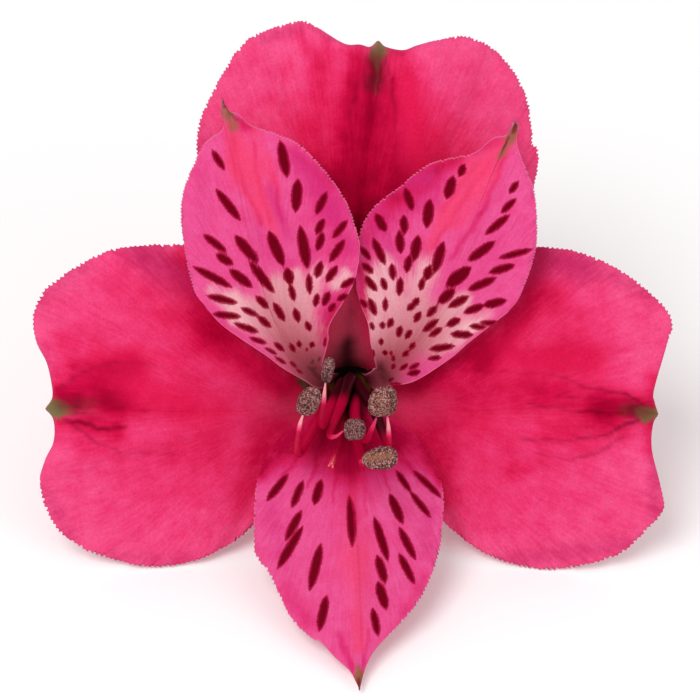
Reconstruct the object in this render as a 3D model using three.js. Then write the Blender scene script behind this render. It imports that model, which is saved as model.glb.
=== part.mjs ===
// One alstroemeria flower with its own cut stalk, lying on a surface and facing forward and up.
// Millimetres, +Z up. The origin is under the middle of the flower, on the surface.
//
// The flower is drawn in its own frame: x to the right, y towards the top tepal and z along the
// flower's axis, out of its mouth. The frame's origin is the middle of the disc that carries the
// tepals. The last lines lean the frame back and set it down.

import * as THREE from 'three';

// How the flower lies
const LEAN_BACK = 50; // degrees from facing straight up the page to lying back
const DISC_HEIGHT = 7.9; // the disc's middle above the surface
const DISC_X = -0.3;
const DISC_Y = 2.9;

// Blades
const BLADE_THICKNESS = 0.6;
const FOOT_HEIGHT = 0.3; // the gap between the disc and each blade, filament and style
const NORMAL_INSET = 0.14; // how far inside the margin a blade's normals are read, up and across
const SIDE_PULL = 4; // how fast the pull of a blade's sides on its veins dies away inwards
const TOOTH_ROOT = 1.9; // how far up the points lie that a tooth's notch looks at
const RISE = 0.12; // how far a claw leans out at its foot
// The share of a claw vein's length that its two ends stay straight
const CLAW_START = 0.4;
const CLAW_END = 0.35;

// Ovary and stalk
const OVARY_LENGTH = 7.5;
const OVARY_RIBS = 6;
const OVARY_RIB_DEPTH = 0.1; // as a share of the radius
const RIBS_FADE_FROM = 4.5;
const STALK_RADIUS = 1;
const STALK_STRAIGHT = 25; // what lies along the surface
const STALK_SIDES = 24;
const OVARY_STEPS = 40;
// distance down the axis from the disc, and radius there
const OVARY_PROFILE = [[0, 2.9], [0.7, 3.1], [2, 3.2], [3.8, 2.8], [5.6, 2], [7.5, 1.2], [10, 1]];

// Filaments and style
const STAMEN_RING = 1;
const THREAD_SIDES = 8;
const THREAD_STEPS = 14;
const FILAMENT_RADII = [[0, 0.27], [0.35, 0.28], [0.75, 0.38], [0.92, 0.22], [1, 0.1]];
const STYLE_RADII = [[0, 0.25], [0.8, 0.27], [0.92, 0.3], [1, 0.4]];
const STIGMA_LOBES = 3;
const STIGMA_START = 0.85; // as a share of the style's length
const STIGMA_LOBE_DEPTH = 0.4; // as a share of the radius

// Anthers: half sizes across, through and along
const ANTHER_HALF = new THREE.Vector3(1.25, 0.72, 1.95);
const ANTHER_FURROW = 0.28; // depth, as a share of the half thickness
const ANTHER_FURROW_HALF = 0.35; // half width, as a share of the half width across

// Rows of points across a blade, from its foot: [how far up, columns]. 0 to 1 is the claw, which
// is the narrow channel at the foot, and 1 to 2 the blade. Each row has as many columns as the
// row before it, or twice as many.
const SMOOTH_ROWS = [
  [0, 8], [0.35, 8], [0.7, 8], [1, 8], [1.14, 16], [1.3, 16], [1.48, 16], [1.66, 32],
  [1.84, 32], [2, 64],
];
const TOOTHED_ROWS = [
  [0, 8], [0.35, 8], [0.7, 8], [1, 8], [1.16, 16], [1.36, 16], [1.58, 32], [1.8, 64], [2, 128],
];

// What the three blades of a whorl share: the ring their feet stand on, the half width and curl of
// the foot, the share of a vein's length that its two ends stay straight, and the margin's teeth
const OUTER = {
  ring: 2.5, foot: 0.7, footCurl: 35, veinStart: 0.42, veinEnd: 0.35,
  rows: TOOTHED_ROWS, tooth: 0.3,
};
const INNER = {
  ring: 2, foot: 0.65, footCurl: 35, veinStart: 0.4, veinEnd: 0.3,
  rows: SMOOTH_ROWS, tooth: 0,
};

// Each blade: where its foot stands round the axis (degrees), where its channel ends and opens
// into the blade (mouth), the way that it faces there (heading), the channel's half width and
// curl, and how far the veins lean out there (flare) and rise at the margin (lift). Then its
// outline: the margin to the tip (out) and back (back), and the points by which the two sides rise
// from the mouth to the margin's ends.
const BLADES = {
  outer_tepal_top: {
    ...OUTER, stands: 90, mouth: [0, 4.2, 7.5], heading: 88,
    width: 2.2, curl: 32, flare: 34, lift: 5,
    outSide: [[-4, 7, 11.2], [-6.4, 10.8, 13], [-9.7, 15.3, 14.2]],
    out: [
      [-13.8, 19.4, 15], [-16.2, 23.5, 15.4], [-16.9, 27, 15.7], [-16.3, 30.1, 16],
      [-14.4, 33.9, 16.6], [-12.5, 36.9, 17.2], [-10.5, 38.7, 17.8], [-5.8, 40.1, 19.2],
      [-3.9, 39.6, 19.8], [-0.7, 37.7, 19.9], [1.1, 37.6, 19.4], [2.2, 37.4, 18.8],
      [3.1, 38.1, 18.4],
    ],
    back: [
      [3.1, 38.1, 18.4], [3.9, 37.4, 18.8], [5.8, 37, 19.4], [7.4, 37.5, 19.8],
      [9.8, 38.1, 19.8], [12.9, 38.4, 19.2], [16.5, 36.6, 17.6], [19.4, 32.4, 16.4],
      [20.7, 24.6, 15.3], [19.9, 21.3, 15.2], [17.1, 17.4, 14.8],
    ],
    backSide: [[5.1, 6.6, 11.2], [8.9, 10, 13], [13.3, 13.7, 14.2]],
  },
  outer_tepal_left: {
    ...OUTER, stands: 210, mouth: [-5.8, -2.5, 7.5], heading: 192,
    width: 2.3, curl: 32, flare: 40, lift: 0,
    outSide: [[-7, 3.7, 10.3]],
    out: [
      [-9.4, 8, 11.4], [-11.9, 12.1, 12.4], [-15.2, 14.8, 13.2], [-18.8, 15.8, 14],
      [-26.4, 15.2, 15], [-32.4, 11.9, 15.6], [-34.4, 9.5, 16], [-34.9, 7.5, 16.4],
      [-34.6, 5.3, 16.8], [-33.4, 2.9, 17.2], [-32.9, 0.9, 17], [-32.8, -1, 16.4],
      [-33.6, -2.3, 16],
    ],
    back: [
      [-33.6, -2.3, 16], [-32.8, -3.2, 16.4], [-32.5, -4.6, 17], [-32.7, -6.2, 17.2],
      [-33.6, -8, 16.8], [-34.2, -10, 16], [-33.9, -12.5, 15], [-32.8, -15.1, 14],
      [-30.6, -17.2, 13.2], [-27.6, -18.7, 12.6], [-21.7, -19.9, 12], [-16.1, -18.8, 11.8],
      [-10.9, -15.4, 11.2], [-7.4, -10.3, 10.3],
    ],
    backSide: [],
  },
  outer_tepal_right: {
    ...OUTER, stands: 330, mouth: [5.8, -2.5, 7.5], heading: -12,
    width: 2.3, curl: 32, flare: 40, lift: 0,
    outSide: [],
    out: [
      [7.4, -10.3, 10.3], [10.9, -15.4, 11.2], [16.1, -18.9, 11.8], [22.1, -20.2, 12.2],
      [28.1, -19.1, 13], [30.8, -17.8, 13.6], [33, -15.5, 14.4], [34.5, -13.7, 15.2],
      [34.5, -11.9, 15.8], [33.2, -6.8, 17.2], [33.4, -4, 16.4], [34, -2.9, 16],
    ],
    back: [
      [34, -2.9, 16], [33.6, -1.7, 16.4], [33.4, -0.4, 17], [34.3, 2.9, 17.2], [35.1, 5.5, 16.8],
      [35.5, 7.2, 16.4], [34.3, 9.3, 16], [29.6, 13.1, 15.3], [24, 15.3, 14.8],
      [17.7, 15.4, 13.4], [14.9, 14, 12.8], [12, 11.4, 12.2], [9.6, 7.8, 11.4],
    ],
    backSide: [[7.2, 3.7, 10.3]],
  },
  inner_tepal_upper_left: {
    ...INNER, stands: 150, mouth: [-4.4, 1.9, 10.5], heading: 140,
    width: 1.25, curl: 65, flare: 38, lift: 20,
    outSide: [[-7.5, 2.2, 13.5], [-9.3, 3.6, 14.8], [-13.8, 6.7, 17]],
    out: [
      [-15.7, 8.7, 18], [-17.3, 11.5, 19.2], [-18.4, 19.7, 21.4], [-16.4, 25.6, 22.4],
      [-15, 27.3, 22.8], [-14, 28.2, 23.2], [-13.8, 31.4, 24.2],
    ],
    back: [
      [-13.8, 31.4, 24.2], [-13.3, 30.4, 23.8], [-10.6, 28.5, 23.2], [-5.4, 26.4, 22.6],
      [-0.9, 21.1, 22.3], [0.9, 16.5, 21.8], [1, 13.8, 21],
    ],
    backSide: [[-2.4, 5.1, 15], [-2.2, 7, 16.4], [0.2, 11, 19.6]],
  },
  inner_tepal_upper_right: {
    ...INNER, stands: 30, mouth: [4.2, 1.6, 10.5], heading: 38,
    width: 1.25, curl: 65, flare: 38, lift: 20,
    outSide: [[2.3, 4.8, 14.8], [2, 7, 15.8], [1.2, 9.1, 17]],
    out: [
      [0.7, 11, 18.4], [0.7, 15.5, 20], [2.3, 19.4, 21.2], [5.4, 21.9, 22.1], [8.7, 24.4, 22.7],
      [13.2, 25.5, 23], [16.3, 27.3, 23.5], [17.8, 28.9, 23.9],
    ],
    back: [
      [17.8, 28.9, 23.9], [18.3, 28, 23.8], [18, 26.7, 23.4], [19.3, 23.4, 22.4], [20.1, 21, 22],
      [20.3, 15.5, 20.6], [18.7, 10.3, 19], [17.3, 8.3, 18.2],
    ],
    backSide: [[7.1, 0.7, 13.4], [11, 3.2, 15.6], [13.2, 5.1, 16.6]],
  },
  inner_tepal_lower: {
    ...INNER, stands: 270, mouth: [0, -2.6, 9.5], heading: 270,
    width: 2.2, curl: 40, flare: 32, lift: 25,
    outSide: [[-4.4, -3.2, 12.6]],
    out: [
      [-6.4, -4.2, 13.6], [-8.3, -6.1, 14.8], [-9.7, -8.6, 16], [-10.4, -11.4, 17],
      [-10.5, -17.2, 18.8], [-9.8, -19, 19.6], [-8.8, -20.2, 20.2], [-6.5, -24.7, 22.4],
      [-4.3, -26.9, 23.8], [-3.2, -27.4, 24.2], [-1.5, -29.1, 25.4], [0.1, -30.5, 26.4],
      [1, -32.3, 27.6],
    ],
    back: [
      [1, -32.3, 27.6], [2.4, -28.6, 25.4], [7.3, -23.3, 22.4], [9.6, -18.4, 19.8],
      [10.1, -15, 18], [10.3, -12.3, 17], [9.8, -9.6, 16], [8.5, -6.9, 14.8], [6.7, -4.7, 13.6],
    ],
    backSide: [[4.5, -3.3, 12.6]],
  },
};

// Each stamen: where its filament stands round the axis, the points that the filament passes, and
// its anther's middle, the way its length points and the way its broad face looks
const STAMENS = [
  {
    stands: 150,
    path: [[-0.9, 0.33, 9], [-2, -1.9, 15], [-2.95, -4, 20], [-2.83, -1.3, 24.3], [-2.65, 0.6, 26.2]],
    anther: [-2.35, 1.97, 28.2], along: [0.1, 0.55, 0.83], face: [0.96, -0.1, 0.2],
  },
  {
    stands: 210,
    path: [[-0.95, -0.68, 9], [-3.5, -3.6, 15.2], [-5.6, -7.2, 20], [-5.5, -4.4, 24], [-5.05, -2.75, 26.4]],
    anther: [-4.4, -1.3, 28], along: [0.32, 0.74, 0.59], face: [0.1, -0.65, 0.75],
  },
  {
    stands: 330,
    path: [[0.85, -0.68, 9], [1.3, -3.1, 14.5], [2, -5.4, 19.5], [2.3, -4.5, 22.6], [2.85, -3.15, 25]],
    anther: [3.2, -1.4, 26.8], along: [0.12, 0.78, 0.61], face: [0, -0.62, 0.78],
  },
  {
    stands: 90,
    path: [[-0.05, 0.8, 9], [-1, -1.9, 15.5], [-2.2, -4.9, 20.5], [-1.6, -5.2, 23], [-0.75, -4.6, 24.2]],
    anther: [0.5, -4.35, 26.5], along: [0.5, 0.05, 0.86], face: [-0.86, 0, 0.5],
  },
  {
    stands: 270,
    path: [[-0.05, -1.2, 9], [0.5, -4.7, 14.5], [1.3, -8, 20], [1.2, -7.9, 23.3], [1.15, -7.7, 25.8]],
    anther: [3.2, -7.45, 27], along: [0.98, 0.12, 0.1], face: [0, -0.12, 1],
  },
  {
    stands: 30,
    path: [[0.8, 0.33, 9], [2.7, -2.5, 14], [4.1, -6.2, 18.5], [4.2, -4.6, 21.3], [4.05, -3.05, 22.9]],
    anther: [3.95, -1.35, 24.4], along: [0.04, 0.8, 0.6], face: [0.1, -0.6, 0.8],
  },
];
const STYLE_PATH = [
  [0, 0, FOOT_HEIGHT], [-0.05, -0.2, 9], [-0.8, -3.2, 14], [-1.45, -6.9, 18.5], [-2.1, -8.7, 22.5],
];

const OUTER_PINK = new THREE.MeshStandardMaterial({ color: 0xe8326c, roughness: 0.55 });
const INNER_PINK = new THREE.MeshStandardMaterial({ color: 0xd94c92, roughness: 0.55 });
const FILAMENT_PINK = new THREE.MeshStandardMaterial({ color: 0xdb3f72, roughness: 0.35 });
const STYLE_RED = new THREE.MeshStandardMaterial({ color: 0xc2204f, roughness: 0.4 });
const ANTHER_GREY = new THREE.MeshStandardMaterial({ color: 0x7c7068, roughness: 0.95 });
const STALK_GREEN = new THREE.MeshStandardMaterial({ color: 0x6f8f45, roughness: 0.5 });

const AXIS = new THREE.Vector3(0, 0, 1);
const SIDEWAYS = new THREE.Vector3(1, 0, 0);

// ---- helpers ----

function vector([x, y, z]) {
  return new THREE.Vector3(x, y, z);
}

function radians(degrees) {
  return THREE.MathUtils.degToRad(degrees);
}

// The way that an angle round the flower's axis points
function outward(degrees) {
  return new THREE.Vector3(Math.cos(radians(degrees)), Math.sin(radians(degrees)), 0);
}

function smoothCurve(points) {
  return new THREE.CatmullRomCurve3(points.map(vector), false, 'catmullrom', 0.5);
}

// The value at x on the broken line through pairs [x, value]
function interpolate(pairs, x) {
  const next = Math.max(1, pairs.findIndex(([at]) => at >= x));
  const last = pairs[pairs.length - 1];
  if (x >= last[0]) {
    return last[1];
  }
  const [x0, y0] = pairs[next - 1];
  const [x1, y1] = pairs[next];
  return THREE.MathUtils.mapLinear(x, x0, x1, y0, y1);
}

function meshFrom(points, triangles) {
  const geometry = new THREE.BufferGeometry();
  geometry.setFromPoints(points);
  geometry.setIndex(triangles.flat());
  geometry.computeVertexNormals();
  return geometry;
}

// ---- blades ----

// A point on an arc across a channel: t from -1 to 1 is the way across, from side to side
function acrossChannel(middle, halfWidth, curlDegrees, sideways, inwards, t) {
  const curl = radians(curlDegrees);
  const radius = halfWidth / Math.sin(curl);
  return middle
    .clone()
    .addScaledVector(sideways, radius * Math.sin(curl * t))
    .addScaledVector(inwards, radius * (1 - Math.cos(curl * t)));
}

// A blade's middle surface as a function of (up, across). A vein runs up from the foot along the
// claw and fans out over the blade to the margin, as two Bezier curves that meet at the mouth.
// The outermost veins are pulled on to the blade's sides, and their neighbours less and less.
function bladeSurface(blade) {
  const halves = [smoothCurve(blade.out), smoothCurve(blade.back)];
  const heading = outward(blade.heading);
  const flare = radians(blade.flare);
  const leaving = heading.clone().multiplyScalar(Math.sin(flare));
  leaving.addScaledVector(AXIS, Math.cos(flare));
  const mouthSide = outward(blade.heading - 90);
  const mouthEnds = vector(blade.back.at(-1)).sub(vector(blade.out[0]));
  const sign = Math.sign(mouthEnds.dot(mouthSide));
  mouthSide.multiplyScalar(sign);
  const mouthInner = leaving.clone().cross(mouthSide);
  mouthInner.multiplyScalar(-Math.sign(mouthInner.dot(heading)));
  const footSide = outward(blade.stands - 90).multiplyScalar(sign);
  const footMiddle = outward(blade.stands).multiplyScalar(blade.ring).setZ(FOOT_HEIGHT);
  const footInner = outward(blade.stands).negate();
  const rising = AXIS.clone().addScaledVector(outward(blade.stands), RISE).normalize();
  const mouthMiddle = vector(blade.mouth);
  const lift = radians(blade.lift);

  function mouthAt(across) {
    return acrossChannel(mouthMiddle, blade.width, blade.curl, mouthSide, mouthInner, across);
  }

  function clawVein(across) {
    const foot = acrossChannel(footMiddle, blade.foot, blade.footCurl, footSide, footInner, across);
    const mouth = mouthAt(across);
    const length = foot.distanceTo(mouth);
    const control1 = foot.clone().addScaledVector(rising, CLAW_START * length);
    const control2 = mouth.clone().addScaledVector(leaving, -CLAW_END * length);
    return new THREE.CubicBezierCurve3(foot, control1, control2, mouth);
  }

  function bladeVein(across) {
    const mouth = mouthAt(across);
    const margin = across < 0 ? halves[0].getPointAt(1 + across) : halves[1].getPointAt(across);
    const length = mouth.distanceTo(margin);
    const arriving = margin.clone().sub(mouth).setZ(0).normalize();
    arriving.multiplyScalar(Math.cos(lift)).addScaledVector(AXIS, Math.sin(lift));
    const control1 = mouth.clone().addScaledVector(leaving, blade.veinStart * length);
    const control2 = margin.clone().addScaledVector(arriving, -blade.veinEnd * length);
    return new THREE.CubicBezierCurve3(mouth, control1, control2, margin);
  }

  const outermost = [bladeVein(-1), bladeVein(1)];
  const sides = [
    smoothCurve([mouthAt(-1).toArray(), ...blade.outSide, blade.out[0]]),
    smoothCurve([mouthAt(1).toArray(), ...blade.backSide, blade.back.at(-1)]),
  ];

  return function at(up, across) {
    if (up <= 1) {
      return clawVein(across).getPoint(up);
    }
    const half = across < 0 ? 0 : 1;
    const pull = sides[half].getPointAt(up - 1).sub(outermost[half].getPoint(up - 1));
    return bladeVein(across).getPoint(up - 1).addScaledVector(pull, Math.abs(across) ** SIDE_PULL);
  };
}

// The surface's point and unit normal, which looks into the flower. The normal is read a little
// inside the margin, because rows and veins run into each other at the blade's corners.
function pointAndNormal(surface, up, across) {
  const step = 0.05;
  const upInside = THREE.MathUtils.clamp(up, step, 2 - NORMAL_INSET);
  const acrossInside = THREE.MathUtils.clamp(across, NORMAL_INSET - 1, 1 - NORMAL_INSET);
  const alongVein = surface(upInside + step, acrossInside).sub(surface(upInside - step, acrossInside));
  const alongRow = surface(upInside, acrossInside + step).sub(surface(upInside, acrossInside - step));
  return { point: surface(up, across), normal: alongRow.cross(alongVein).normalize() };
}

// Pulls every second point of the margin in, towards the row inside it, to leave pointed teeth.
// They fade out at the tip and towards the sides, where veins and margin run close together.
function cutTeeth(row, surface, depth) {
  const last = row.length - 1;
  for (let i = 1; i < last; i += 2) {
    const across = (2 * i) / last - 1;
    const edge = row[i + 1].point.clone().sub(row[i - 1].point).normalize();
    const inner = surface(TOOTH_ROOT, across).sub(row[i].point);
    inner.addScaledVector(edge, -inner.dot(edge));
    const fromTip = THREE.MathUtils.smoothstep(Math.abs(across), 0.02, 0.07);
    const fromSides = THREE.MathUtils.smoothstep(1 - Math.abs(across), 0.12, 0.25);
    const cut = depth * fromTip * fromSides;
    row[i].point.addScaledVector(inner.normalize(), cut);
  }
}

function bladeRows(blade, flip) {
  const surface = bladeSurface(blade);
  const rows = blade.rows.map(([up, columns]) => {
    const row = [];
    for (let i = 0; i <= columns; i += 1) {
      const found = pointAndNormal(surface, up, (2 * i) / columns - 1);
      row.push({ point: found.point, normal: found.normal.multiplyScalar(flip) });
    }
    return row;
  });
  if (blade.tooth > 0) {
    cutTeeth(rows.at(-1), surface, blade.tooth);
  }
  return rows;
}

// Triangles between two rows of points, the second with as many columns as the first or twice
// as many. first and second are the numbers of the rows' first points.
function strip(first, firstColumns, second, secondColumns) {
  const triangles = [];
  for (let i = 0; i < firstColumns; i += 1) {
    const a = first + i;
    if (secondColumns === firstColumns) {
      const c = second + i;
      triangles.push([a, a + 1, c + 1], [a, c + 1, c]);
    } else {
      const c = second + 2 * i;
      triangles.push([a, a + 1, c + 1], [a, c + 1, c], [a + 1, c + 2, c + 1]);
    }
  }
  return triangles;
}

// A blade of even thickness: the middle surface moved half of it each way, the same triangles on
// both faces, and a rim between them
function bladeGeometry(blade) {
  const surface = bladeSurface(blade);
  const { normal } = pointAndNormal(surface, 1, 0);
  const flip = Math.sign(-normal.dot(outward(blade.heading)));
  const rows = bladeRows(blade, flip);
  const starts = [];
  const flat = [];
  for (const row of rows) {
    starts.push(flat.length);
    flat.push(...row);
  }
  const count = flat.length;
  const faces = [];
  for (let r = 0; r + 1 < rows.length; r += 1) {
    faces.push(...strip(starts[r], rows[r].length - 1, starts[r + 1], rows[r + 1].length - 1));
  }
  const ends = rows.map((row, r) => starts[r] + row.length - 1);
  const loop = [
    ...Array.from({ length: rows[0].length }, (_, i) => i),
    ...ends.slice(1, -1),
    ...Array.from({ length: rows.at(-1).length }, (_, i) => ends.at(-1) - i),
    ...starts.slice(1, -1).reverse(),
  ];
  const half = BLADE_THICKNESS / 2;
  const points = [
    ...flat.map((v) => v.point.clone().addScaledVector(v.normal, half)),
    ...flat.map((v) => v.point.clone().addScaledVector(v.normal, -half)),
  ];
  const triangles = [];
  for (const [a, b, c] of faces) {
    triangles.push([a, b, c], [count + a, count + c, count + b]);
  }
  loop.forEach((a, i) => {
    const b = loop[(i + 1) % loop.length];
    triangles.push([a, count + a, count + b], [a, count + b, b]);
  });
  return meshFrom(points, flip > 0 ? triangles : triangles.map(([a, b, c]) => [a, c, b]));
}

// ---- round bodies ----

// A closed body of rings along a curve. radiusAt takes the share of the way along and the angle
// round, which starts at +X; the rings are turned so that a flat side looks across the curve.
function sweptGeometry(curve, steps, sides, radiusAt) {
  const points = [];
  const triangles = [];
  for (let k = 0; k <= steps; k += 1) {
    const along = k / steps;
    const centre = curve.getPointAt(along);
    const tangent = curve.getTangentAt(along);
    const side = SIDEWAYS.clone().addScaledVector(tangent, -tangent.x).normalize();
    const other = tangent.clone().cross(side);
    for (let i = 0; i < sides; i += 1) {
      const angle = ((i + 0.5) / sides) * 2 * Math.PI;
      const radius = radiusAt(along, angle);
      const ringPoint = centre.clone().addScaledVector(side, radius * Math.cos(angle));
      points.push(ringPoint.addScaledVector(other, radius * Math.sin(angle)));
      if (k < steps) {
        const a = k * sides + i;
        const b = k * sides + ((i + 1) % sides);
        triangles.push([a, b, b + sides], [a, b + sides, a + sides]);
      }
    }
  }
  const firstEnd = points.push(curve.getPointAt(0)) - 1;
  const lastEnd = points.push(curve.getPointAt(1)) - 1;
  for (let i = 0; i < sides; i += 1) {
    const next = (i + 1) % sides;
    triangles.push([firstEnd, next, i], [lastEnd, steps * sides + i, steps * sides + next]);
  }
  return meshFrom(points, triangles);
}

function filamentGeometry(stamen) {
  const foot = outward(stamen.stands).multiplyScalar(STAMEN_RING).setZ(FOOT_HEIGHT);
  const curve = smoothCurve([foot.toArray(), ...stamen.path]);
  const radiusAt = (along) => interpolate(FILAMENT_RADII, along);
  return sweptGeometry(curve, THREAD_STEPS, THREAD_SIDES, radiusAt);
}

// The style ends in a stigma of three blunt lobes
function styleGeometry() {
  const radiusAt = (along, angle) => {
    const lobed = STIGMA_LOBE_DEPTH * THREE.MathUtils.smoothstep(along, STIGMA_START, 1);
    return interpolate(STYLE_RADII, along) * (1 + lobed * Math.cos(STIGMA_LOBES * angle));
  };
  return sweptGeometry(smoothCurve(STYLE_PATH), THREAD_STEPS, THREAD_SIDES + 1, radiusAt);
}

// An anther: a flattened oblong ball with a furrow down the middle of each broad face
function antherGeometry(stamen) {
  const ball = new THREE.SphereGeometry(1, 12, 8);
  const along = vector(stamen.along).normalize();
  const across = vector(stamen.face).cross(along).normalize();
  const through = across.clone().cross(along);
  const middle = vector(stamen.anther);
  const spot = ball.attributes.position;
  for (let i = 0; i < spot.count; i += 1) {
    const [x, y, z] = [spot.getX(i), spot.getY(i), spot.getZ(i)];
    const acrossFurrow = Math.max(0, 1 - (x / ANTHER_FURROW_HALF) ** 2);
    const furrow = 1 - ANTHER_FURROW * acrossFurrow * (1 - y * y);
    const point = middle
      .clone()
      .addScaledVector(across, ANTHER_HALF.x * x)
      .addScaledVector(through, ANTHER_HALF.y * z * furrow)
      .addScaledVector(along, ANTHER_HALF.z * y);
    spot.setXYZ(i, point.x, point.y, point.z);
  }
  ball.computeVertexNormals();
  return ball;
}

// The ovary runs straight down the flower's axis. The stalk goes on from it, bends as far as the
// flower leans and lies along the surface.
function ovaryAndStalkGeometry() {
  const fall = radians(90 - LEAN_BACK);
  const lyingHeight = STALK_RADIUS * Math.cos(Math.PI / STALK_SIDES);
  const bendDrop = DISC_HEIGHT - lyingHeight - OVARY_LENGTH * Math.sin(fall);
  const bendRadius = bendDrop / (1 - Math.cos(fall));
  const path = new THREE.CurvePath();
  const bendStart = new THREE.Vector3(0, 0, -OVARY_LENGTH);
  const bend = new THREE.Vector3(0, 1 - Math.cos(fall), -Math.sin(fall));
  const bendEnd = bendStart.clone().addScaledVector(bend, bendRadius);
  const flat = new THREE.Vector3(0, Math.sin(fall), -Math.cos(fall));
  const reach = bendRadius * Math.tan(fall / 2);
  const corner = bendStart.clone().addScaledVector(AXIS, -reach);
  path.add(new THREE.LineCurve3(new THREE.Vector3(), bendStart));
  path.add(new THREE.QuadraticBezierCurve3(bendStart, corner, bendEnd));
  path.add(new THREE.LineCurve3(bendEnd, bendEnd.clone().addScaledVector(flat, STALK_STRAIGHT)));
  const length = path.getLength();
  const radiusAt = (along, angle) => {
    const distance = along * length;
    const starting = THREE.MathUtils.smoothstep(distance, 0, 1);
    const ending = THREE.MathUtils.smoothstep(distance, RIBS_FADE_FROM, OVARY_LENGTH);
    const rib = OVARY_RIB_DEPTH * starting * (1 - ending) * Math.cos(OVARY_RIBS * angle);
    return interpolate(OVARY_PROFILE, distance) * (1 + rib);
  };
  return sweptGeometry(path, OVARY_STEPS, STALK_SIDES, radiusAt);
}

// ---- the flower ----

function addPiece(parent, name, geometry, material) {
  const piece = new THREE.Mesh(geometry, material);
  piece.name = name;
  parent.add(piece);
}

const flower = new THREE.Group();
addPiece(flower, 'ovary_and_stalk', ovaryAndStalkGeometry(), STALK_GREEN);
for (const [name, blade] of Object.entries(BLADES)) {
  const material = name.startsWith('outer') ? OUTER_PINK : INNER_PINK;
  addPiece(flower, name, bladeGeometry(blade), material);
}
STAMENS.forEach((stamen, i) => {
  addPiece(flower, `filament_${i + 1}`, filamentGeometry(stamen), FILAMENT_PINK);
  addPiece(flower, `anther_${i + 1}`, antherGeometry(stamen), ANTHER_GREY);
});
addPiece(flower, 'style', styleGeometry(), STYLE_RED);
flower.rotation.x = radians(LEAN_BACK);
flower.position.set(DISC_X, DISC_Y, DISC_HEIGHT);

const group = new THREE.Group();
group.add(flower);

export default group;
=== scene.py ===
"""An alstroemeria flower: fine tepals, stamens, style, ovary and stalk in place of its solids.

Sizes are millimetres in the flower's own frame: x to the right, y towards the top tepal, and z
along the flower's axis, out of its mouth. in_place() leans that frame back, sets it down on the
surface and turns it into metres. Angles are degrees unless a name says otherwise.
"""
import math

import bpy
import numpy as np
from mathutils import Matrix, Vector


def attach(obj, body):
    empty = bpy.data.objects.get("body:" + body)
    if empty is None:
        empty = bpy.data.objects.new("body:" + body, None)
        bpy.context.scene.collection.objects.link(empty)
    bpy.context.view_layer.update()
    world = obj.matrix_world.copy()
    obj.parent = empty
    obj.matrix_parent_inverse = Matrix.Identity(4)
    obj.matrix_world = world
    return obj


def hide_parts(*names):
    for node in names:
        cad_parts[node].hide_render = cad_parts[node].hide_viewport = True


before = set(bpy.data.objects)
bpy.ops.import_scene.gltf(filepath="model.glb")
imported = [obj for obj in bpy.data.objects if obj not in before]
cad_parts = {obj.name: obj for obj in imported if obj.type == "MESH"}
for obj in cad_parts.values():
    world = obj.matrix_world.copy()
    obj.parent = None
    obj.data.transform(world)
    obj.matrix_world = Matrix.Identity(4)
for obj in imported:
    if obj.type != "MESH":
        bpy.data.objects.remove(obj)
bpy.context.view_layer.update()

MM = 0.001
AXIS = np.array([0, 0, 1.0])

# ---- how the flower lies, as in its solids ----

LEAN_BACK = 50
DISC_MIDDLE = np.array([-0.3, 2.9, 7.9])

# ---- the eye that looks square into the flower ----

EYE = np.array([0, 4.18, 440])
SHARP_HEIGHT = 17  # the height above the disc where marks are as wide as they are drawn
SEEN_WIDTH = 77  # how much it takes in across, at that height
SENSOR_WIDTH = 36
NEAREST_SEEN = 0.01  # metres

# ---- light and floor: places and sizes in metres, lamps in watts ----

SKY_LIGHT = 0.6
LAMP_SIZE = 0.5
# Where each lamp stands, and its power
LAMPS = {"key lamp": ((-0.28, -0.42, 0.75), 4.0), "fill lamp": ((0.5, -0.5, 0.45), 0.9)}
FLOOR_HALF = 2.0
FLOOR_GLOW = 0.06

# ---- tepals ----

FOOT_HEIGHT = 0.3  # the gap under every foot, and how high the disc's dome rises
RISE = 0.12  # how far a foot's veins lean out for each millimetre up
CLAW_START = 0.4  # how far the handles of a claw's veins reach, as shares of their length
CLAW_END = 0.35
SIDE_PULL = 4  # the power of |t| by which the side curves' pull fades inwards
CURVE_STEPS = 60
ROW_CROWDING = 0.92  # below 1, the rows of a blade crowd towards its margin
NORMAL_INSET = 0.14  # how far inside the edges their normals are read, as a share
FOOT_INSET = 0.05

# A tooth takes three columns, and is cut back by these shares of its depth
TOOTH_CUTS = np.array([0, 1, 0.8])
TOOTH_DEPTHS = (0.45, 1.15)  # the square of a number between these, times "tooth", is its depth
TOOTH_POINTS = (0.2, 1)  # how far its point stands out, as a share of the mean depth
TOOTH_OUT = 0.35  # how far its other columns stand out, as a share of the mean depth
TEETH_PAST_TIP = (0.16, 0.28)  # the teeth begin and are full at these shares from the tip
TEETH_PAST_SIDE = (0.03, 0.2)
TOOTH_REACH = 1.1  # how far in from the margin the cuts are felt
TOOTH_ROWS = 6  # the way inwards is read to this row, counted from the margin

RIPPLE_LENGTHS = (6.1, 9.7, 4.3)  # millimetres along the margin
FOLD_LENGTHS = (0.11, 0.17, 0.26)  # shares of the way from the midrib to a side
RIPPLE_PAST_MIDRIB = (0.01, 0.05)  # the ripple begins and is full at these |t|
GROOVE_HALF = 0.55
GROOVE_PAST_MOUTH = (0.05, 0.3)  # the groove begins and is full at these shares up the blade
GROOVE_BEFORE_TIP = (1, 0.9)
CREASE_DEPTH = 0.22

MARGIN_THIN = 0.3  # the thickness at the margin, as a share
THICK_FROM = 2.2  # how far in from the margin a tepal has its full thickness
TIP_REACH = (3.2, 1)  # the midrib of the tip thickens between these distances from the tip
TIP_THICKENING = 0.1
TIP_RIB_HALF = 0.6

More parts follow.
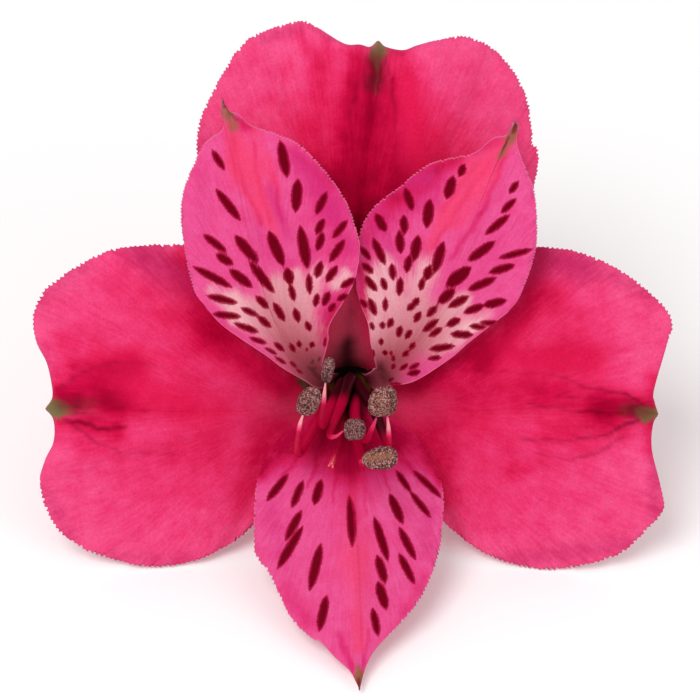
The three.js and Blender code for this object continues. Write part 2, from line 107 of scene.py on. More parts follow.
# What the tepals of a ring share: how far out their feet stand, the feet's half width and curl,
# the reach of the veins' handles, the grid, and the depth of the teeth, the thickness, the ripple,
# the folds and the groove over the midrib.
OUTER = {
    "ring": 2.5, "foot": 2.1, "foot_curl": 35, "vein_start": 0.42, "vein_end": 0.35,
    "columns": 492, "claw_rows": 10, "blade_rows": 64, "tooth": 0.24, "thick": 0.42,
    "ripple": 0.22, "fold": 0.03, "groove": 0.05, "slot": "outer_tepal",
}
INNER = {
    "ring": 2, "foot": 0.65, "foot_curl": 35, "vein_start": 0.4, "vein_end": 0.3,
    "columns": 400, "claw_rows": 10, "blade_rows": 72, "tooth": 0.16, "thick": 0.38,
    "ripple": 0.12, "fold": 0.09, "groove": 0.16, "slot": "inner_tepal",
}

# Each tepal: where its foot stands round the axis, the mouth where its channel opens into the
# blade, the way it heads there, the channel's half width and curl, how far the veins lean out
# there (flare) and rise at the margin (lift), then its outline from one side to the tip (out) and
# back (back), and the points by which the sides rise from the mouth.
TEPALS = {
    "outer_tepal_top": {
        **OUTER, "stands": 90, "mouth": (0, 4.2, 7.5), "heading": 88,
        "width": 3.4, "curl": 32, "flare": 34, "lift": 5,
        "out_side": [(-4.7, 6.8, 11.1), (-6.6, 10.8, 13), (-9.7, 15.3, 14.2)],
        "out": [
            (-13.8, 19.4, 15), (-16.2, 23.5, 15.4), (-16.9, 27, 15.7), (-16.3, 30.1, 16),
            (-14.4, 33.9, 16.6), (-12.5, 36.9, 17.2), (-10.5, 38.7, 17.8), (-5.8, 40.1, 19.2),
            (-3.9, 39.6, 19.8), (-0.7, 37.7, 19.9), (1.1, 37.6, 19.4), (2.2, 37.4, 18.8),
            (3.1, 38.1, 18.4),
        ],
        "back": [
            (3.1, 38.1, 18.4), (3.9, 37.4, 18.8), (5.8, 37, 19.4), (7.4, 37.5, 19.8),
            (9.8, 38.1, 19.8), (12.9, 38.4, 19.2), (16.5, 36.6, 17.6), (19.3, 32.4, 16.4),
            (19.9, 29.4, 16), (20.1, 27.3, 15.7), (20, 26.9, 15.65), (20.6, 26.5, 15.6),
            (20.75, 24.6, 15.3), (19.9, 21.3, 15.2), (17.1, 17.4, 14.8),
        ],
        "back_side": [(6.4, 5.9, 10.9), (9.4, 9.6, 13), (13.3, 13.7, 14.2)],
    },
    "outer_tepal_left": {
        **OUTER, "stands": 210, "mouth": (-5.7, -1.9, 7.5), "heading": 192,
        "width": 3.3, "curl": 32, "flare": 40, "lift": 0,
        "out_side": [(-6.5, 4.1, 10.2)],
        "out": [
            (-9.4, 8, 11.4), (-11.9, 12.1, 12.4), (-15.2, 14.8, 13.2), (-18.8, 15.8, 14),
            (-26.4, 15.2, 15), (-32.4, 11.9, 15.6), (-34.4, 9.5, 16), (-34.9, 7.5, 16.4),
            (-34.6, 5.3, 16.8), (-33.4, 2.9, 17.2), (-32.9, 0.9, 17), (-32.8, -1, 16.4),
            (-33.6, -2.3, 16),
        ],
        "back": [
            (-33.6, -2.3, 16), (-32.8, -3.2, 16.4), (-32.5, -4.6, 17), (-32.7, -6.2, 17.2),
            (-33.6, -8, 16.8), (-34.2, -10, 16), (-33.9, -12.5, 15), (-32.8, -15.1, 14),
            (-30.6, -17.2, 13.2), (-27.6, -18.7, 12.6), (-21.7, -19.9, 12), (-16.1, -18.8, 11.8),
            (-10.9, -15.4, 11.2), (-7.4, -10.3, 10.3),
        ],
        "back_side": [],
    },
    "outer_tepal_right": {
        **OUTER, "stands": 330, "mouth": (5.7, -1.9, 7.5), "heading": -12,
        "width": 3.3, "curl": 32, "flare": 40, "lift": 0,
        "out_side": [],
        "out": [
            (7.4, -10.3, 10.3), (10.9, -15.4, 11.2), (16.1, -18.9, 11.8), (22.1, -20.2, 12.2),
            (28.1, -19.1, 13), (30.8, -17.8, 13.6), (33, -15.5, 14.4), (34.5, -13.7, 15.2),
            (34.5, -11.9, 15.8), (33.2, -6.8, 17.2), (33.4, -4, 16.4), (34, -2.9, 16),
        ],
        "back": [
            (34, -2.9, 16), (33.6, -1.7, 16.4), (33.4, -0.4, 17), (34.3, 2.9, 17.2),
            (35.1, 5.5, 16.8), (35.5, 7.2, 16.4), (34.3, 9.3, 16), (29.6, 13.1, 15.3),
            (24, 15.3, 14.8), (17.7, 15.4, 13.4), (14.9, 14, 12.8), (12, 11.4, 12.2),
            (9.6, 7.8, 11.4),
        ],
        "back_side": [(6.6, 4.1, 10.2)],
    },
    "inner_tepal_upper_left": {
        **INNER, "stands": 150, "mouth": (-4.4, 1.9, 10.5), "heading": 140,
        "width": 1.25, "curl": 65, "flare": 38, "lift": 20,
        "out_side": [(-7.5, 2.2, 13.5), (-9.3, 3.6, 14.8), (-13.8, 6.7, 17)],
        "out": [
            (-15.7, 8.7, 18), (-17.3, 11.5, 19.2), (-18.4, 19.7, 21.4), (-16.4, 25.6, 22.4),
            (-15, 27.3, 22.8), (-14.1, 27.8, 22.9), (-13.7, 28.6, 23.2), (-13.95, 29.7, 23.6),
            (-14, 30.7, 24), (-13.75, 31.4, 24.2),
        ],
        "back": [
            (-13.75, 31.4, 24.2), (-13.4, 30.6, 23.8), (-12.95, 30, 23.6), (-12.2, 29.8, 23.5),
            (-11.6, 29.3, 23.4), (-10.6, 28.5, 23.2), (-5.4, 26.4, 22.6), (-0.9, 21.1, 22.3),
            (0.9, 16.5, 21.8), (1, 13.8, 21),
        ],
        "back_side": [(-2.4, 5.1, 15), (-2.2, 7, 16.4), (0.2, 11, 19.6)],
    },
    "inner_tepal_upper_right": {
        **INNER, "stands": 30, "mouth": (4.2, 1.6, 10.5), "heading": 38,
        "width": 1.25, "curl": 65, "flare": 38, "lift": 20,
        "out_side": [(2.3, 4.8, 14.8), (2, 7, 15.8), (1.2, 9.1, 17)],
        "out": [
            (0.7, 11, 18.4), (0.7, 15.5, 20), (2.3, 19.4, 21.2), (5.4, 21.9, 22.1),
            (8.7, 24.4, 22.7), (13.2, 25.5, 23), (15, 26.75, 23.3), (15.8, 27.25, 23.4),
            (16.9, 27.45, 23.5), (17.45, 28.1, 23.7), (17.9, 29, 23.9),
        ],
        "back": [
            (17.9, 29, 23.9), (18.25, 28.4, 23.8), (18.05, 27.2, 23.5), (18.3, 25.8, 23.1),
            (19.3, 23.4, 22.4), (20.1, 21, 22), (20.3, 15.5, 20.6), (18.7, 10.3, 19),
            (17.3, 8.3, 18.2),
        ],
        "back_side": [(7.1, 0.7, 13.4), (11, 3.2, 15.6), (13.2, 5.1, 16.6)],
    },
    "inner_tepal_lower": {
        **INNER, "stands": 270, "mouth": (0, -2.6, 9.5), "heading": 270,
        "width": 2.2, "curl": 40, "flare": 32, "lift": 25,
        "out_side": [(-4.4, -3.2, 12.6)],
        "out": [
            (-6.4, -4.2, 13.6), (-8.3, -6.1, 14.8), (-9.7, -8.6, 16), (-10.4, -11.4, 17),
            (-10.5, -17.2, 18.8), (-9.8, -19, 19.6), (-8.8, -20.2, 20.2), (-6.5, -24.7, 22.4),
            (-4.3, -26.9, 23.8), (-3.2, -27.4, 24.2), (-1.5, -29.1, 25.4), (0.1, -30.5, 26.4),
            (1, -32.3, 27.6),
        ],
        "back": [
            (1, -32.3, 27.6), (2.4, -28.6, 25.4), (7.3, -23.3, 22.4), (9.6, -18.4, 19.8),
            (10.1, -15, 18), (10.3, -12.3, 17), (9.8, -9.6, 16), (8.5, -6.9, 14.8),
            (6.7, -4.7, 13.6),
        ],
        "back_side": [(4.5, -3.3, 12.6)],
    },
}

# ---- marks ----

DASH_FULLNESS = 1.15  # a dash's half width is this times the one in its row, plus DASH_EXTRA
DASH_EXTRA = 0.03
DASH_FAR = 5.0  # the distance where there is no dash near
# Sines that bend the strokes: how far they move a spot, how fast they turn with x and with y, and
# where they start, in radians
WANDER_ASIDE = [(0.1, 0.7, 1.9, 0), (0.05, 0, 5.3, 1)]
WANDER_UPWARD = [(0.1, 1.7, -0.6, 2), (0.05, 4.7, 0, 0)]
RIM_REACH = (0.32, 0.02)  # the light rim begins and is full at these gaps from the edge
LOWER_RIM = (-8, -12)  # on the lower inner tepal it also begins and is full at these y

# Dashes, each drawn where it is seen by the eye: x and y of its two ends, half width
DASHES = {
    "inner_tepal_upper_left": [
        (-15.2, 26.3, -13.8, 24, 0.3), (-7.7, 27.3, -6.9, 23.1, 0.48), (-5.7, 23.1, -6, 19.3, 0.52),
        (-14.8, 22, -12, 18.4, 0.41), (-2.5, 21.6, -3.7, 19.1, 0.37), (-2.8, 18.7, -3.7, 16.9, 0.35),
        (-2.9, 17.2, -3.6, 15.1, 0.37), (-0.2, 18.5, -1.9, 16.5, 0.33), (-0.5, 16.4, -2.2, 13.9, 0.37),
        (-5.5, 18, -4.6, 13.1, 0.52), (-9, 17.4, -7.3, 13.4, 0.52), (-12.7, 16.9, -10.1, 13.8, 0.48),
        (-16.2, 17, -13.5, 14.9, 0.35), (-14.8, 14.8, -12.8, 13.6, 0.39), (-11.1, 14, -8.3, 10.4, 0.41),
        (-7, 13.3, -6.5, 11.4, 0.48), (-6.6, 11.5, -6.1, 9.6, 0.3), (-4.5, 12.7, -4.4, 10.3, 0.3),
        (-3.1, 14, -3.7, 12.1, 0.37), (-1.3, 13.5, -2.6, 11.7, 0.37), (0.6, 12.1, -1, 11.1, 0.33),
        (-13.3, 13.1, -10.7, 11.1, 0.44), (-17.3, 13.4, -12.9, 11.1, 0.37),
        (-10.4, 10.2, -8.9, 8.8, 0.35), (-8.5, 9.5, -7.2, 7.4, 0.35), (-6.1, 8.9, -5.6, 7.3, 0.33),
        (-3.5, 10.5, -3.8, 9, 0.28), (-2.2, 10.7, -2.9, 9.1, 0.33), (-0.2, 10.3, -1.4, 9.7, 0.28),
        (-1.6, 9.4, -2.3, 8.4, 0.28), (-4.8, 7.4, -4.3, 6.4, 0.3), (-12, 8.9, -10.1, 8, 0.28),
        (-10.2, 8, -8.7, 6.7, 0.3), (-15.8, 10.2, -12.3, 9.4, 0.35), (-15.2, 8.2, -11.9, 7.9, 0.33),
        (-12.8, 7.2, -10, 6.2, 0.3), (-11.1, 5.6, -9.2, 5, 0.24), (-8.4, 5.1, -7.3, 4.1, 0.24),
        (-9.4, 4.5, -8.1, 3.8, 0.17), (-6.7, 5, -6.1, 4, 0.24), (-5.7, 5.3, -5.5, 4.6, 0.26),
        (-4, 5.2, -4.3, 4.6, 0.26), (-2.7, 5.6, -2.8, 4.5, 0.13), (-8.3, 3.5, -7.1, 2.7, 0.17),
        (-6.7, 3, -6, 2.3, 0.13), (-6, 2.1, -5.3, 1.6, 0.11), (-4.7, 4.5, -4.8, 4.2, 0.13),
    ],
    "inner_tepal_upper_right": [
        (12.6, 24.7, 12, 23.3, 0.35), (11.4, 23.4, 10.6, 20.8, 0.5), (6, 22.1, 6.9, 19.5, 0.39),
        (8.8, 20.9, 8.4, 17.6, 0.5), (2.8, 19.3, 4, 17.2, 0.44), (5.9, 19.1, 6, 16.9, 0.39),
        (5.4, 17.4, 5.6, 14.8, 0.41), (2.5, 16.6, 3.9, 13.6, 0.39), (7.5, 16.9, 7, 14, 0.48),
        (6.6, 14.7, 6.2, 12.7, 0.37), (10.3, 16.2, 9.2, 12.6, 0.48), (8.8, 13.6, 8.4, 11.9, 0.44),
        (8.1, 12.2, 7.7, 10.8, 0.3), (1.1, 15.6, 2.3, 14.1, 0.28), (1.3, 13.8, 2.6, 12.7, 0.3),
        (1.6, 12.4, 3, 10.7, 0.35), (4.6, 13.8, 4.8, 11.9, 0.33), (3.5, 12.2, 4, 10.8, 0.3),
        (5.6, 12.3, 5.4, 10.2, 0.33), (3.9, 10, 3.9, 8.5, 0.26), (2.1, 10, 2.9, 8, 0.33),
        (1.1, 9.8, 1.9, 8.9, 0.28), (18.5, 22.8, 17.5, 21.4, 0.3), (18.3, 20.9, 16.6, 19.3, 0.33),
        (17.6, 19.1, 14.8, 16.9, 0.37), (16, 16.2, 12.9, 14, 0.46), (20.1, 15.3, 16.3, 14.3, 0.3),
        (18.2, 13.6, 15.2, 12.7, 0.37), (13.3, 13.4, 10.6, 11.2, 0.59), (11.5, 11, 9.7, 9.3, 0.44),
        (9.6, 9.1, 8.5, 7.9, 0.33), (16.1, 12.2, 12.9, 10.8, 0.39), (13.1, 10.2, 10.8, 8.9, 0.37),
        (17.3, 9.7, 14.6, 9.1, 0.41), (14.8, 9.2, 12.5, 8.3, 0.37), (12.2, 7.7, 10.6, 6.9, 0.37),
        (7.6, 10, 6.9, 9.1, 0.33), (7.1, 9.4, 6.3, 8.6, 0.3), (7.8, 8.5, 7.1, 7.3, 0.33),
        (9.8, 7.7, 8, 6.2, 0.3), (10.2, 6.7, 8.7, 5.7, 0.28), (16.5, 7.1, 14.3, 7.3, 0.26),
        (15, 6.7, 13.1, 6.9, 0.28), (13.6, 5.9, 11, 6, 0.35), (4.7, 7.8, 4.2, 6.7, 0.3),
        (3.6, 7.4, 3.5, 6.6, 0.24), (2.3, 7.3, 2.6, 6.4, 0.22), (5.6, 7, 5.3, 5.7, 0.3),
        (6.8, 6.5, 6.1, 5.5, 0.28), (3.4, 5.6, 3.4, 4.8, 0.22), (7.2, 5.1, 6.6, 4.3, 0.26),
        (6.5, 4.2, 5.9, 3.5, 0.28), (3.9, 4.3, 3.8, 3.7, 0.26), (4.5, 4.2, 4.6, 3.7, 0.15),
        (4.7, 3.7, 4.9, 3, 0.17), (4.9, 2.8, 4.8, 2.1, 0.22), (11.6, 4.7, 8.7, 4.3, 0.33),
        (10.1, 3.4, 8.6, 3.3, 0.24), (6.5, 2.7, 5.6, 2, 0.22), (7.8, 2.8, 6.6, 2.1, 0.2),
        (7.8, 1.9, 6.4, 1.5, 0.28), (2.5, 4.3, 2.6, 3.4, 0.13), (4.9, 1.1, 4.2, 0.7, 0.13),
        (5.7, 0.5, 4.3, 0.4, 0.11), (2.5, 2.5, 2.6, 2.1, 0.13),
    ],
    "inner_tepal_lower": [
        (-6.8, -9.5, -9.2, -12.5, 0.37), (-5.1, -10.2, -6.4, -13.3, 0.35),
        (-3.1, -10.1, -3.9, -13, 0.43), (-5.3, -13.5, -7.1, -16.9, 0.39),
        (-5.1, -15.2, -8, -20, 0.43), (-3.1, -17.1, -4.4, -22.4, 0.45),
        (-2.5, -22.8, -3.4, -26.9, 0.43), (0, -11.8, 0.3, -17.6, 0.31), (4.3, -11.7, 5.8, -15.1, 0.43),
        (5, -9.1, 6.7, -11.6, 0.3), (6.5, -11.4, 8.9, -14.4, 0.3), (6.9, -9.1, 10.2, -12.2, 0.3),
        (2.6, -14.2, 4.2, -19.2, 0.42), (5.3, -15.3, 7.2, -19, 0.37), (2.9, -18.4, 3.9, -21.6, 0.43),
        (3, -21.3, 4, -24.5, 0.48), (5.3, -18.2, 7.1, -21.7, 0.37), (2.4, -24.2, 3.1, -27.4, 0.37),
    ],
}

# Soft strokes of colour, laid where the eye sees them: x, y and half width at the start, the same
# at the end, and strength. The crimson kind is the tepals' own crimson and also painted shade where
# the inner tepals shade the outer ones and along their edges; "warm" is coral; "cool" is purple,
# the inner tepals' own lilac and painted shade near the outer tepals' margins; "pale" is the light
# base; "green" and "tan" colour the tips; the dark maroon kind is painted shade along the folds and
# the edges near the tips, and also dents the surface there; and "dark" is the painted shade in the
# throat. A tepal leaves out the kinds that it hasn't.
STROKE_KINDS = ("crimson_and_shade", "warm", "cool", "pale", "green", "tan", "crease_shade", "dark")
STROKES = {
    "outer_tepal_top": {
        "crimson_and_shade": [
            (2.8, 35.6, 1.8, 1.6, 15.2, 4.6, 0.85), (1.6, 15.2, 4.4, 0, 9, 3, 0.2),
            (0.6, 36, 1.4, -1, 22, 2, 0.75), (-2.2, 36.9, 1.4, -4.8, 24, 2.6, 0.45),
            (5.7, 36.6, 1.4, 8, 22, 4.2, 0.55), (4.6, 34, 0.9, 5, 20, 1, 0.45),
            (-5.5, 38.6, 0.8, -3.4, 35.6, 0.9, 0.35),
        ],
        "warm": [
            (6.2, 34, 1.2, 8, 22.5, 2.2, 0.75), (-6.5, 36, 1, -9, 28, 1.4, 0.3),
            (9.5, 29.5, 2.6, 14, 24, 3, 0.5), (-4, 31, 1.6, -4.5, 26, 1.8, 0.45),
        ],
        "cool": [
            (-15.8, 28, 1.6, -15.4, 22, 1.4, 0.4), (18, 29, 1, 18.8, 24.5, 1, 0.5),
            (-9.5, 38.3, 0.8, -5.5, 39.6, 0.8, 0.5),
        ],
        "pale": [(-0.8, 13.5, 1.6, -0.6, 3, 3.4, 0.9)],
        "green": [
            (3.1, 38.2, 0.5, 3.05, 36.9, 0.9, 1), (3.05, 36.9, 0.8, 3, 35.4, 0.5, 0.55),
            (3, 35.9, 0.2, 2.9, 32.1, 0.16, 0.45),
        ],
        "tan": [(2.9, 36.2, 1.3, 2.7, 33.4, 1.2, 0.5)],
        "crease_shade": [
            (2.9, 36.1, 1.5, 2.7, 33.2, 1.5, 0.7), (2.6, 32.8, 1.3, 2.2, 29, 1, 0.35),
            (1.8, 35.8, 0.5, -0.2, 29.7, 0.5, 0.35), (3.9, 36.4, 0.35, 4.5, 34.1, 0.32, 0.5),
            (4.5, 34.1, 0.32, 4.9, 30.6, 0.3, 0.4), (4.9, 30.6, 0.3, 5.2, 23, 0.3, 0.3),
            (-2.2, 38.6, 0.4, 2.2, 37.5, 0.4, 0.4), (4, 37.2, 0.4, 5.9, 37, 0.4, 0.5),
            (5.9, 37, 0.35, 9.9, 38.1, 0.3, 0.35), (-4.2, 39.6, 0.4, -1.8, 38, 0.4, 0.3),
        ],
        "dark": [(-0.2, 5, 0.9, -0.5, 1.2, 1.8, 0.9), (0.2, 8.5, 0.9, 0, 4, 1.5, 0.28)],
    },
    "outer_tepal_left": {
        "crimson_and_shade": [
            (-31.7, -0.7, 1.9, -25.7, -1.2, 2.5, 0.95), (-30, 2, 2, -24, 2.3, 1.8, 0.75),
            (-25, 12, 3, -17, 6, 3, 0.25), (-32.2, -5.4, 1, -26, -6.8, 1.4, 0.35),
            (-25.7, -1.2, 2.2, -17.4, -2.2, 2.4, 0.3), (-21.6, -6.8, 1.8, -15, -7.1, 1.8, 0.2),
            (-31.7, -3.6, 1, -25.8, -4.7, 1.2, 0.7), (-18.5, 13.9, 1.6, -15, 5.9, 2, 0.6),
            (-15, 5.9, 2, -7.6, 0.2, 1.8, 0.5), (-12.1, -12.3, 1.5, -8.3, -4.6, 2, 0.35),
            (-31.4, 5.4, 1.5, -28, 5.8, 1.5, 0.3),
        ],
        "warm": [(-24, 0, 2.6, -15, -3, 3, 0.6), (-28, 3.2, 1.6, -20, 3, 2, 0.4)],
        "cool": [
            (-23, 14.8, 2.2, -16.5, 11, 2, 0.75), (-34, 4.5, 1.2, -32.5, 1.5, 0.8, 0.3),
            (-34, 9.8, 1.4, -29.5, 13.2, 1.4, 0.45), (-33.4, -11.5, 1.2, -30.8, -16.2, 1.2, 0.45),
            (-26, -18.6, 1.2, -17.5, -19, 1.2, 0.4),
        ],
        "pale": [(-9.7, -1.9, 2, -5.5, -2.4, 2.6, 0.36)],
        "green": [
            (-33.8, -2.4, 0.7, -32.6, -2.4, 1.1, 1), (-32.6, -2.4, 0.9, -31, -2.3, 0.8, 0.45),
            (-5.7, 0.9, 0.4, -5, 0.2, 0.35, 0.7),
        ],
        "tan": [
            (-31.8, -2.3, 1.2, -28.6, -1.9, 1.5, 0.45), (-5.5, 0.8, 0.5, -4.9, 0.2, 0.4, 1),
        ],
        "crease_shade": [
            (-31.8, -1.8, 1.2, -30, -1.8, 1.3, 0.6), (-30, -1.6, 1.3, -27.2, -1.4, 1.5, 0.32),
            (-32.4, -0.4, 0.5, -29.5, 1.8, 0.4, 0.4), (-29.5, 1.8, 0.4, -25.8, 2.9, 0.35, 0.4),
            (-25.8, 2.9, 0.35, -21.3, 2.5, 0.35, 0.3), (-31.1, -3.5, 0.4, -29.2, -4, 0.35, 0.65),
            (-29.2, -4, 0.35, -26.6, -4.6, 0.3, 0.65), (-26.6, -4.6, 0.3, -24.6, -4.3, 0.3, 0.5),
            (-30.6, -4, 0.3, -27.6, -6.1, 0.3, 0.45), (-27.6, -6.1, 0.3, -25, -7, 0.3, 0.4),
            (-25, -7, 0.3, -19.5, -7.3, 0.3, 0.3), (-30, -1.8, 0.3, -22, -2.6, 0.3, 0.3),
        ],
        "dark": [(-4, -1.4, 0.6, -2.2, -1, 1, 0.6)],
    },
    "outer_tepal_right": {
        "crimson_and_shade": [
            (32.1, -2.2, 1.8, 27.9, -2.4, 2.3, 0.9), (27.9, -1.5, 2.4, 21.5, -0.6, 2.4, 0.5),
            (33.6, 1, 1.1, 33, -6.5, 1.1, 0.6), (20.5, 13, 3.4, 25, 5, 3.4, 0.3),
            (26.5, 3.4, 1.8, 19.5, 3.4, 1.8, 0.45), (19.5, -0.1, 2.2, 10.7, -2.2, 2.2, 0.3),
            (30, -5, 1.2, 21.6, -5, 1.2, 0.4), (26.5, -6.8, 1, 17.8, -9.2, 1, 0.2),
            (20.5, 10.2, 2, 15, 3.4, 2, 0.6), (15, 3.4, 1.8, 7.6, 0.2, 1.8, 0.4),
            (11, -12.3, 1.4, 9.3, -5.7, 2, 0.3),
        ],
        "warm": [(27, 3, 2, 18, 2.6, 2.6, 0.6), (24, -4, 2, 14, -4, 2.4, 0.4)],
        "cool": [
            (20.5, 14.8, 2, 25, 13, 2, 0.75), (16, 8.5, 1.4, 20.5, 12.5, 1.6, 0.5),
            (25, 14, 1.4, 33, 10.4, 1.4, 0.5), (33.8, -8, 1.3, 33.6, -14, 1.4, 0.5),
            (31.5, -17, 1.4, 17, -19, 1.6, 0.5),
        ],
        "pale": [(9.9, -1.9, 2.4, 5.7, -2.2, 2.6, 0.36)],
        "green": [
            (33.8, -2.9, 0.5, 32.6, -2.9, 0.9, 1), (32.6, -2.8, 0.6, 31.5, -2.6, 0.4, 0.6),
        ],
        "tan": [(32.8, -2.6, 1.2, 30.4, -2.5, 1.2, 0.5)],
        "crease_shade": [
            (32.8, -2.6, 1.3, 31, -2.5, 1.3, 0.65), (31, -2.4, 1.3, 28, -2.2, 1.5, 0.35),
            (32.8, -2, 0.3, 30, -0.5, 0.3, 0.6), (30, -0.5, 0.3, 26.5, -0.1, 0.3, 0.5),
            (26.5, -0.1, 0.3, 22.3, 1.5, 0.3, 0.4), (22.3, 1.5, 0.3, 12, 2, 0.3, 0.3),
            (31.4, -2.8, 0.35, 25.1, -2.6, 0.3, 0.5), (25.1, -2.6, 0.3, 19.5, -1.7, 0.3, 0.35),
            (31.8, -3.4, 0.35, 28.6, -5, 0.3, 0.65), (28.6, -5, 0.3, 25.1, -5.7, 0.3, 0.5),
            (25.1, -5.7, 0.3, 18.9, -5.6, 0.3, 0.35), (30, -5.4, 0.3, 27.9, -6.8, 0.3, 0.45),
            (27.9, -6.8, 0.3, 24.4, -7.9, 0.3, 0.45), (24.4, -7.9, 0.3, 20.2, -7.1, 0.3, 0.3),
            (31, -1.4, 0.3, 23, -0.9, 0.3, 0.35),
        ],
        "dark": [(4, -1.4, 0.6, 2.2, -1, 1, 0.6)],
    },
    "inner_tepal_upper_left": {
        "crimson_and_shade": [
            (-3.3, 21.8, 2, -0.6, 15.2, 1.6, 0.3), (-12.1, 29.3, 0.7, -11, 28.6, 0.6, 0.7),
            (-6, 26, 0.9, -2, 22, 0.9, 0.5), (-0.4, 10, 1.2, -2.8, 6, 1.4, 0.6),
            (-13, 27.7, 0.25, -12.4, 24, 0.25, 0.7), (-12.4, 24, 0.25, -9.7, 18, 0.25, 0.6),
            (-10.6, 27, 0.25, -10.2, 23, 0.25, 0.6), (-10.2, 23, 0.25, -8.9, 18.6, 0.25, 0.6),
            (-8.4, 23.4, 0.25, -7.6, 18.4, 0.25, 0.5),
        ],
        "warm": [
            (-13.2, 28.9, 1, -11.7, 24.6, 1.9, 0.9), (-11.7, 24.6, 1.8, -9.8, 20.4, 1.5, 0.85),
            (-9.8, 20.4, 1.2, -8.1, 16.6, 0.8, 0.7), (-10.4, 28, 1, -8.2, 22.6, 0.9, 0.6),
        ],
        "cool": [
            (-6.2, 25.4, 1.4, -1.8, 19.6, 1.6, 0.7), (-1.8, 19.6, 1.5, 0, 15.2, 1.3, 0.6),
            (-9, 22, 0.8, -6.6, 16.6, 0.8, 0.6), (-16.2, 23, 1, -16.4, 16.2, 1.2, 0.35),
            (-4.6, 16.4, 0.8, -4.4, 13, 0.7, 0.6), (-9.8, 16.8, 1.2, -7, 13.6, 1.1, 0.5),
        ],
        "pale": [
            (-7.8, 11, 1.8, -6, 5.3, 2.4, 0.9), (-3.3, 12.9, 1.2, -5, 9, 1.4, 0.65),
            (-5.8, 12.6, 0.8, -5.6, 9, 1.4, 0.7), (-12.7, 9.8, 1.2, -7.7, 6.9, 2.2, 0.85),
            (-13, 7.7, 0.7, -9.7, 6.4, 1, 0.6), (-5.7, 5.3, 2.4, -4, 0.8, 2.4, 0.95),
            (-15.2, 10.9, 1, -12.4, 8.2, 1.1, 0.55), (-0.5, 12.6, 0.8, -1.4, 11.4, 0.9, 0.75),
        ],
        "green": [
            (-3.4, 3.4, 0.16, -3.5, 3.2, 0.16, 0.8), (-4.1, 3.1, 0.16, -4.2, 2.7, 0.16, 0.8),
            (-3.7, 2.5, 0.2, -4, 2.2, 0.2, 0.6),
        ],
        "tan": [
            (-13.95, 31.8, 0.5, -13.6, 30.1, 0.6, 1), (-13.6, 30.1, 0.6, -12.7, 28.8, 0.7, 0.65),
        ],
        "crease_shade": [
            (-13.9, 31.8, 0.35, -13.8, 30.9, 0.35, 0.8), (-13.4, 30.4, 0.2, -12.4, 29.5, 0.25, 0.5),
        ],
        "dark": [(-4.4, 2.2, 0.3, -3.6, 1.4, 0.3, 0.5)],
    },
    "inner_tepal_upper_right": {
        "crimson_and_shade": [
            (5, 20.7, 1.4, 1.7, 16.3, 1.4, 0.35), (16.8, 27.3, 0.6, 13.8, 26, 0.6, 0.6),
            (12, 25.4, 1, 5, 21.5, 1.7, 0.75), (9, 22.6, 1.8, 3, 19, 1.8, 0.35),
            (1.4, 13, 1, 2, 6, 1, 0.6), (17, 25.4, 0.3, 14.4, 19.2, 0.35, 0.5),
            (14.4, 19.2, 0.35, 11.2, 14.4, 0.3, 0.4), (15.4, 25, 0.25, 11.4, 19, 0.25, 0.6),
            (11.4, 19, 0.25, 9, 15.6, 0.25, 0.5), (13.6, 24.4, 0.25, 10.2, 19.6, 0.25, 0.5),
        ],
        "warm": [
            (17.6, 27.2, 1, 13.8, 23.6, 1.8, 0.9), (13.8, 23.6, 1.8, 10.7, 18.9, 1.5, 0.85),
            (10.7, 18.9, 1.2, 8.6, 15.5, 0.8, 0.7), (15.6, 23.6, 1, 12.4, 18, 0.8, 0.45),
        ],
        "cool": [
            (5, 22.5, 1.3, 8.4, 23.2, 1.3, 0.7), (6.7, 19.5, 1, 9.6, 20.6, 0.9, 0.5),
            (2.5, 20.4, 1.4, 4.4, 15.4, 1.3, 0.6), (1.6, 15.4, 0.8, 3, 12.4, 0.8, 0.4),
            (18.6, 18, 1.4, 14.4, 14, 1.3, 0.3), (7.6, 15.4, 0.8, 6.8, 12.4, 0.7, 0.5),
        ],
        "pale": [
            (3.9, 13.9, 1.2, 5, 6.4, 2, 0.75), (8.3, 13, 1.8, 6.4, 6.4, 2, 0.75),
            (12.4, 9.5, 1.2, 8.3, 6.4, 2.2, 0.9), (13.6, 6.9, 0.9, 9.9, 4.7, 1.6, 0.8),
            (5.5, 4.7, 2.4, 3.4, 1, 2.4, 0.95), (12, 6.5, 1, 15.4, 8.2, 0.9, 0.5),
            (2.5, 12.6, 0.9, 3.1, 4, 1.1, 0.75),
        ],
        "tan": [
            (18.2, 29.3, 0.45, 17.9, 27.6, 0.6, 1), (17.9, 27.6, 0.55, 16.5, 25.7, 0.5, 0.65),
        ],
        "crease_shade": [
            (18.2, 29.3, 0.35, 18, 28.2, 0.35, 0.8), (17.6, 27.6, 0.2, 16.8, 26.4, 0.2, 0.5),
            (3.4, 2.9, 0.4, 3.7, 0.9, 0.45, 0.2),
        ],
        "dark": [(3.4, 2.4, 0.5, 4, 1.1, 0.7, 0.6)],
    },
    "inner_tepal_lower": {
        "crimson_and_shade": [
            (-5.5, -5.7, 3, 5.5, -5.7, 3, 1), (0, -3.5, 4, 0, -8, 3, 0.9),
            (-9.8, -9.5, 1, -7.7, -6, 2, 0.95), (10, -10, 1, 8.3, -6, 2, 0.9),
            (0.2, -9.6, 0.9, 0.4, -15.6, 0.4, 0.5), (-7, -22, 1, -4.4, -26, 0.8, 0.3),
            (5.5, -26, 0.8, 8, -21, 0.8, 0.25), (-3.4, -7.5, 0.35, -4.6, -11, 0.12, 0.5),
            (-1.4, -8, 0.4, -1.8, -12.5, 0.12, 0.4), (3.2, -8, 0.4, 4.4, -11.5, 0.12, 0.4),
            (1.2, -9, 0.4, 1.8, -14, 0.12, 0.35), (-6, -8, 0.4, -7.6, -10, 0.2, 0.5),
